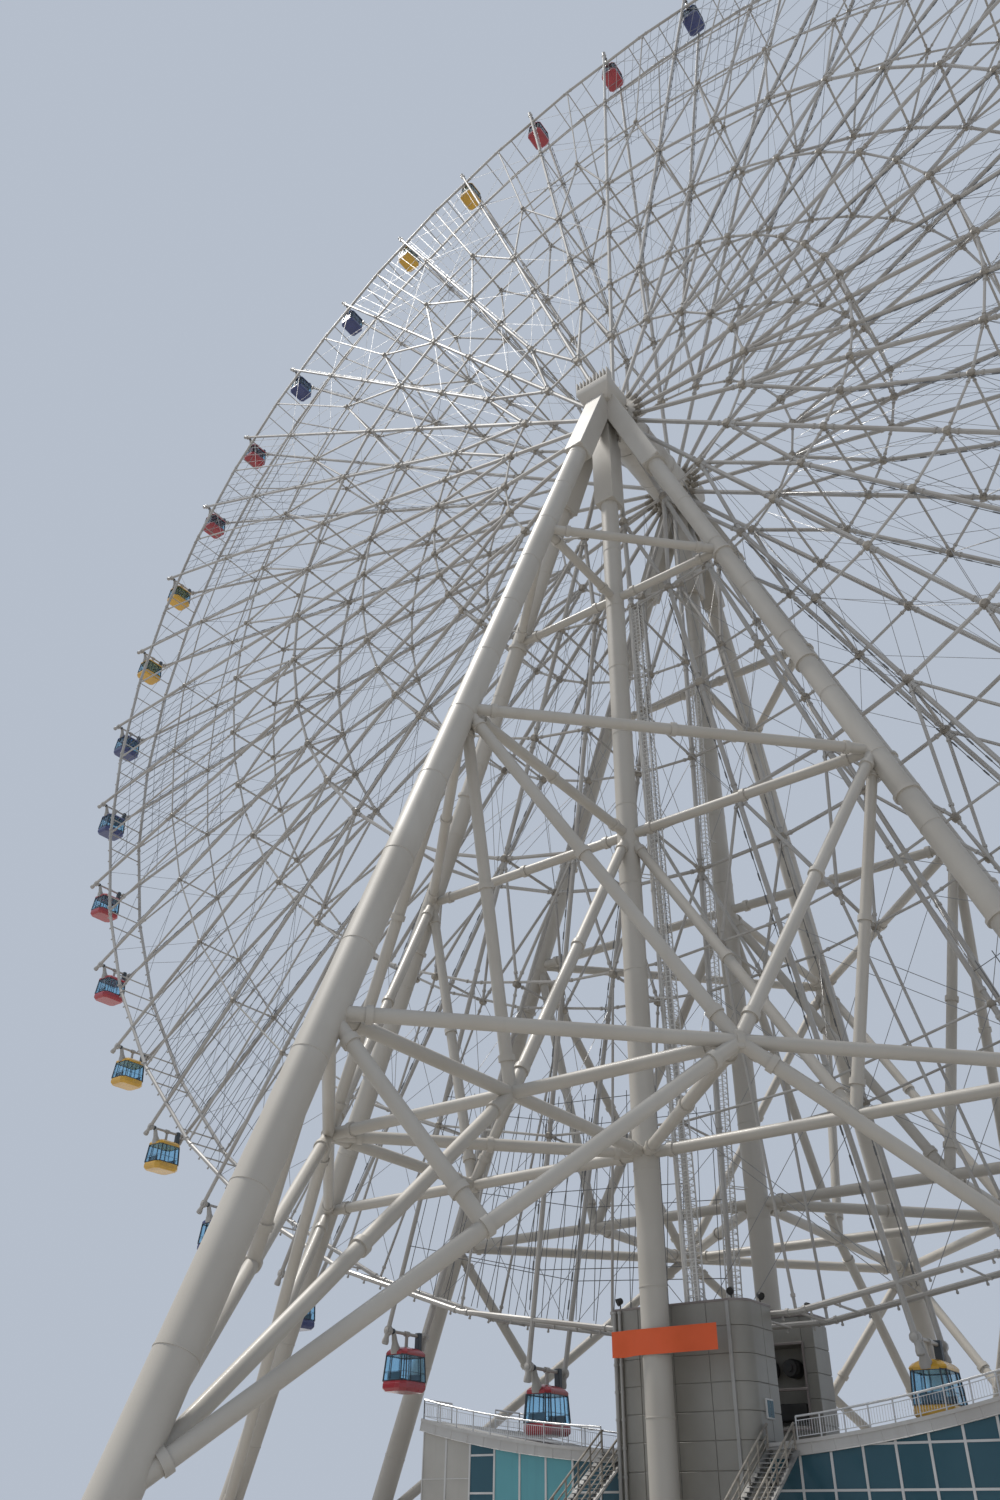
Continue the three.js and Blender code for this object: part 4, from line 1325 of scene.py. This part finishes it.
def lift_house():
    """The near machine house, clad in metal panels, with one rounded corner."""
    left, right, front, back, top, corner = HOUSE.values()
    depth = PANEL_THICK
    core = open_piece("lift_house_core")
    slab((left + depth, front + depth, 0), (right - corner, back - depth, top - 0.01))
    slab((right - corner - 0.01, front + corner, 0), (right - depth, back - depth, top - 0.01))
    turn = Vector((right - corner, front + corner, 0))
    rows = []
    for row in range(9):
        z = row * ROW
        rows += [(z, corner - depth), (z + 0.003, corner), (z + ROW - 0.001, corner),
                 (z + ROW, corner - depth)]
    drawn_out(turn, Z_AXIS, rows, 48)
    pieces = [close_piece(core, PANEL_METAL, smooth=30)]
    panels = open_piece("lift_house_panels")
    columns = [left, left + 0.05, left + 0.153, left + 0.357, left + 0.563, right - corner]
    clad(columns, front, -1, top)
    clad([left, left + 0.2, left + 0.4, left + 0.6, right], back, 1, top)
    clad([front, front + 0.16, back], left, -1, top, sideways=True)
    clad([front + corner, front + 0.2, back], right, 1, top, sideways=True)
    pieces.append(close_piece(panels, PANEL_METAL))
    trim = open_piece("lift_house_trim")
    slab((left - 0.003, front - 0.003, top - 0.012), (right - corner, back + 0.003, top), 0.002)
    slab((right - corner - 0.01, front + corner, top - 0.012), (right + 0.003, back + 0.003, top), 0.002)
    disc(turn + Z_AXIS * (top - 0.012), Z_AXIS, corner + 0.003, 0.012, 48)
    pieces.append(close_piece(trim, PANEL_TRIM))
    pipes = open_piece("lift_house_pipes")
    for x, radius in ((left + 0.012, 0.010), (left + 0.045, 0.008)):
        sections = []
        for row in range(9):
            z = row * ROW
            sections += [(z, radius), (z + 0.10, radius), (z + 0.10, radius + 0.003),
                         (z + 0.112, radius + 0.003), (z + 0.112, radius)]
        drawn_out(Vector((x, front - 0.014, 0)), Z_AXIS, sections, 14)
    channel = right - corner - 0.012
    slab((channel, front - 0.008, 0), (channel + 0.018, front + 0.002, top - 0.012), 0.001)
    pieces.append(close_piece(pipes, CHANNEL_PALE))
    window = open_piece("lift_house_window")
    slab((right - 0.003, -0.44, 0.60), (right + 0.008, -0.36, 0.69), 0.002)
    pieces.append(close_piece(window, MULLION_WHITE))
    panes = open_piece("lift_house_panes")
    for y in (-0.433, -0.398):
        slab((right + 0.006, y, 0.608), (right + 0.0095, y + 0.031, 0.682))
    pieces.append(close_piece(panes, HALL_GLASS))
    lamps = open_piece("lift_house_lamps")
    for x, y, toward in ((left + 0.02, front + 0.04, Vector((-0.6, -0.6, -0.4))),
                         (right - corner, front + 0.05, Vector((0.2, -0.8, -0.4))),
                         (right - 0.03, back - 0.05, Vector((0.7, -0.4, -0.4)))):
        house_lamp(Vector((x, y, top)), toward.normalized())
    pieces.append(close_piece(lamps, LAMP_BLACK))
    return joined("lift_house_shell", pieces)


def drive_house():
    """The far machine house, clad in panels, with its drive in an opening of the wall by the wheel."""
    left, right, front, back, top = FAR_HOUSE.values()
    depth = PANEL_THICK
    mouth_low, mouth_high, mouth_left, mouth_right = MOUTH.values()
    core = open_piece("drive_house_core")
    slab((left + depth, back + depth, 0), (right - depth, front - depth, top - 0.01))
    for z in (mouth_low, mouth_high):
        cut_through(Vector((0, 0, z)), Z_AXIS)
    for x in (mouth_left, mouth_right):
        cut_through(Vector((x, 0, 0)), X_AXIS)
    select_faces(core, lambda centre, normal: (
        normal.y < -0.9 and mouth_low < centre.z < mouth_high and mouth_left < centre.x < mouth_right))
    bpy.ops.mesh.extrude_region_move(TRANSFORM_OT_translate={"value": (0, 0.13, 0)})
    pieces = [close_piece(core, PANEL_METAL)]
    panels = open_piece("drive_house_panels")
    clad([left, left + 0.2, left + 0.4, left + 0.6, right], front, 1, top)
    clad([left, left + 0.155, mouth_left], back, -1, top)
    clad([mouth_right, right], back, -1, top)
    clad([mouth_left, (mouth_left + mouth_right) / 2, mouth_right], back, -1, mouth_low + 0.01)
    slab((mouth_left + 0.002, back, mouth_high + 0.002),
         (mouth_right - 0.002, back + depth, top - 0.013), 0.001)
    clad([back, front], left, -1, top, sideways=True)
    clad([back, front], right, 1, top, sideways=True)
    pieces.append(close_piece(panels, PANEL_METAL))
    trim = open_piece("drive_house_trim")
    slab((left - 0.003, back - 0.003, top - 0.012), (right + 0.003, front + 0.003, top), 0.002)
    for z in (mouth_low - 0.014, 0.80, mouth_high):
        slab((mouth_left - 0.01, back - 0.012, z), (mouth_right + 0.01, back + 0.01, z + 0.014), 0.002)
    for x in (mouth_left - 0.008, mouth_right - 0.004):
        slab((x, back - 0.008, mouth_low), (x + 0.012, back + 0.01, mouth_high), 0.001)
    vent = [(0, 0.05), (0.02, 0.05), (0.024, 0.03), (0.05, 0.03)]
    drawn_out(Vector((0.1, 0.47, top)), Z_AXIS, vent, 20)
    pieces.append(close_piece(trim, PANEL_TRIM))
    drive = open_piece("drive_house_machine")
    motor = [(0, 0.05), (0.06, 0.05), (0.07, 0.042), (0.09, 0.042), (0.09, 0.02), (0.10, 0.02)]
    for x in (0.07, 0.22):
        drawn_out(Vector((x, back + 0.12, 0.92)), -Y_AXIS, motor, 20)
    slab((mouth_left + 0.02, back + 0.01, 0.66), (mouth_right - 0.02, back + 0.12, 0.74), 0.004)
    house_lamp(Vector((right - 0.03, back + 0.03, top)), Vector((0.7, -0.5, -0.4)).normalized())
    house_lamp(Vector((left + 0.03, back + 0.03, top)), Vector((-0.5, -0.7, -0.4)).normalized())
    pieces.append(close_piece(drive, LAMP_BLACK))
    return joined("drive_house_shell", pieces)


def stair(name, x1, x2):
    """A metal stair from the near edge of the deck to the floor, with open treads and rails."""
    top = deck_height(x1)
    rise, going = top / STAIR_STEPS, STAIR_RUN / STAIR_STEPS
    steel = open_piece(f"{name}_steel")
    head = Vector((0, -DECK_HALF_Y - 0.004, top - rise))
    foot = Vector((0, -DECK_HALF_Y - STAIR_RUN + going, rise * 0.4))
    for x in (x1 + 0.005, x2 - 0.005):
        beam(head + X_AXIS * x - Z_AXIS * 0.012, foot + X_AXIS * x, 0.045, 0.008, 0.001)
    first = Vector((x1 + 0.008, -DECK_HALF_Y - going - 0.004, top - rise - 0.004))
    slab(first, first + Vector((x2 - x1 - 0.016, going + 0.004, 0.004)))
    for step in range(STAIR_STEPS - 2):
        bpy.ops.mesh.duplicate_move(TRANSFORM_OT_translate={"value": (0, -going, -rise)})
    slab((x1, -DECK_HALF_Y - STAIR_RUN, 0), (x2, -DECK_HALF_Y - STAIR_RUN + 0.06, 0.008), 0.001)
    cut_at_floor()
    pieces = [close_piece(steel, STAIR_STEEL)]
    rails = open_piece(f"{name}_rails")
    for x in (x1 + 0.004, x2 - 0.004):
        for high, radius in STAIR_RAILS:
            wire(head + Vector((x, 0, high)), foot + Vector((x, 0, high)), radius, 8)
        top_rail, radius = STAIR_RAILS[0]
        for step in range(7):
            at = head.lerp(foot, step / 6) + X_AXIS * x
            wire(at - Z_AXIS * 0.006, at + Z_AXIS * top_rail, 0.005, 8)
        wire(head + Vector((x, 0.012, top_rail)), head + Vector((x, 0, top_rail)), radius, 8)
    pieces.append(close_piece(rails, NODE_STEEL))
    return joined(f"{name}_shell", pieces)


def banner():
    """A bare cloth banner, stretched in front of the near post and pulled a little at one corner."""
    cloth = open_piece("banner")
    bpy.ops.mesh.primitive_grid_add(x_subdivisions=48, y_subdivisions=10, size=1, location=BANNER_MIDDLE,
                                    rotation=(math.radians(90), 0, 0))
    bpy.ops.transform.resize(value=(BANNER_WIDE, 1, BANNER_HIGH), center_override=BANNER_MIDDLE)
    corner = BANNER_MIDDLE + Vector((-BANNER_WIDE / 2, 0, -BANNER_HIGH / 2))
    for reach, pull in ((0.16, -0.010), (0.07, 0.006)):
        select_points(cloth, lambda point: (point - corner).length < 0.02)
        bpy.ops.transform.translate(value=(0, 0, pull), use_proportional_edit=True,
                                    proportional_edit_falloff="SMOOTH", proportional_size=reach)
    return close_piece(cloth, BANNER_CLOTH)


def banner_battens():
    """The two battens that hold the cloth out, and their clamps round the post."""
    battens = open_piece("banner_battens")
    back = BANNER_MIDDLE + Y_AXIS * 0.0045
    for z in (-0.052, 0.052):
        left = back + Vector((-BANNER_WIDE / 2 + 0.006, 0, z))
        wire(left, left + X_AXIS * (BANNER_WIDE - 0.012), 0.003, 6)
        disc(Vector((0, -TOWER_Y, back.z + z - 0.006)), Z_AXIS, 0.0785, 0.012, 36)
    return close_piece(battens, NODE_STEEL)


def build_station():
    ready(boarding_deck(), "root", ["boarding_deck"])
    ready(deck_railings(), "root")
    left_kinds = ["panel"] * 2 + ["glass"] + ["board"] * 3 + ["glass"] * 2
    left = hall("left_hall", HOUSE["left"] - 0.008, -HALL_END, left_kinds, ["glass"] * 7)
    right = hall("right_hall", HOUSE["right"] + 0.008, HALL_END, ["glass"] * 8, ["glass"] * 8)
    ready(left, "root", ["left_hall"])
    ready(right, "root", ["right_hall"])
    ready(lift_house(), "root", ["lift_house"])
    ready(drive_house(), "root", ["drive_house"])
    for name, place in (("left_stair", LEFT_STAIR), ("right_stair", RIGHT_STAIR)):
        ready(stair(name, *place), "root", [name])
    ready(banner_battens(), "root")
    cloth = ready(banner(), "root")


build_station()


# Studio: pale floor, soft light and the camera

def studio_lamp(name, energy, colour, spread, pointing):
    """Light from far off, in the direction given. Its spread in degrees softens the shadows."""
    bpy.ops.object.light_add(type="SUN", location=-pointing * 20)
    light = bpy.context.object
    light.name = name
    light.data.energy = energy
    light.data.color = colour
    light.data.angle = math.radians(spread)
    light.rotation_euler = pointing.to_track_quat("-Z", "Y").to_euler()


def build_studio():
    """The floor, the even light of the sky and two lamps."""
    unselect()
    bpy.ops.mesh.primitive_grid_add(x_subdivisions=4, y_subdivisions=4, size=FLOOR_SIZE,
                                    location=(0, 0, -0.001))
    floor = bpy.context.object
    floor.name = "studio_floor"
    floor.data.materials.append(FLOOR_PALE)
    choose(floor)
    bpy.ops.object.transform_apply(location=True, rotation=True, scale=True)

    world = bpy.data.worlds.new("soft_sky")
    bpy.context.scene.world = world
    world.use_nodes = True
    sky = world.node_tree.nodes["Background"].inputs
    feed(world.node_tree, sky["Color"], SKY_COLOUR)
    feed(world.node_tree, sky["Strength"], SKY_STRENGTH)
    studio_lamp("key_light", *KEY_LIGHT)
    studio_lamp("fill_light", *FILL_LIGHT)
    bpy.context.scene.view_settings.view_transform = "Standard"


def set_camera():
    """The camera, from its heading, pitch and roll and the photograph's focal length in pixels."""
    flat = Vector((*CAMERA_HEADING, 0)).normalized()
    sideways = Vector((flat.y, -flat.x, 0))
    forward = flat * math.cos(CAMERA_PITCH) + Z_AXIS * math.sin(CAMERA_PITCH)
    upward = sideways.cross(forward)
    right = sideways * math.cos(CAMERA_ROLL) + upward * math.sin(CAMERA_ROLL)
    up = upward * math.cos(CAMERA_ROLL) - sideways * math.sin(CAMERA_ROLL)
    data = bpy.data.cameras.new("camera")
    data.sensor_width = SENSOR
    data.lens = FOCAL_PIXELS / LONG_SIDE_PIXELS * SENSOR
    data.clip_start = 0.05
    data.clip_end = 400
    camera = bpy.data.objects.new("camera", data)
    bpy.context.scene.collection.objects.link(camera)
    camera.matrix_world = Matrix.Translation(CAMERA_AT) @ Matrix((right, up, -forward)).transposed().to_4x4()
    bpy.context.scene.camera = camera


build_studio()
set_camera()
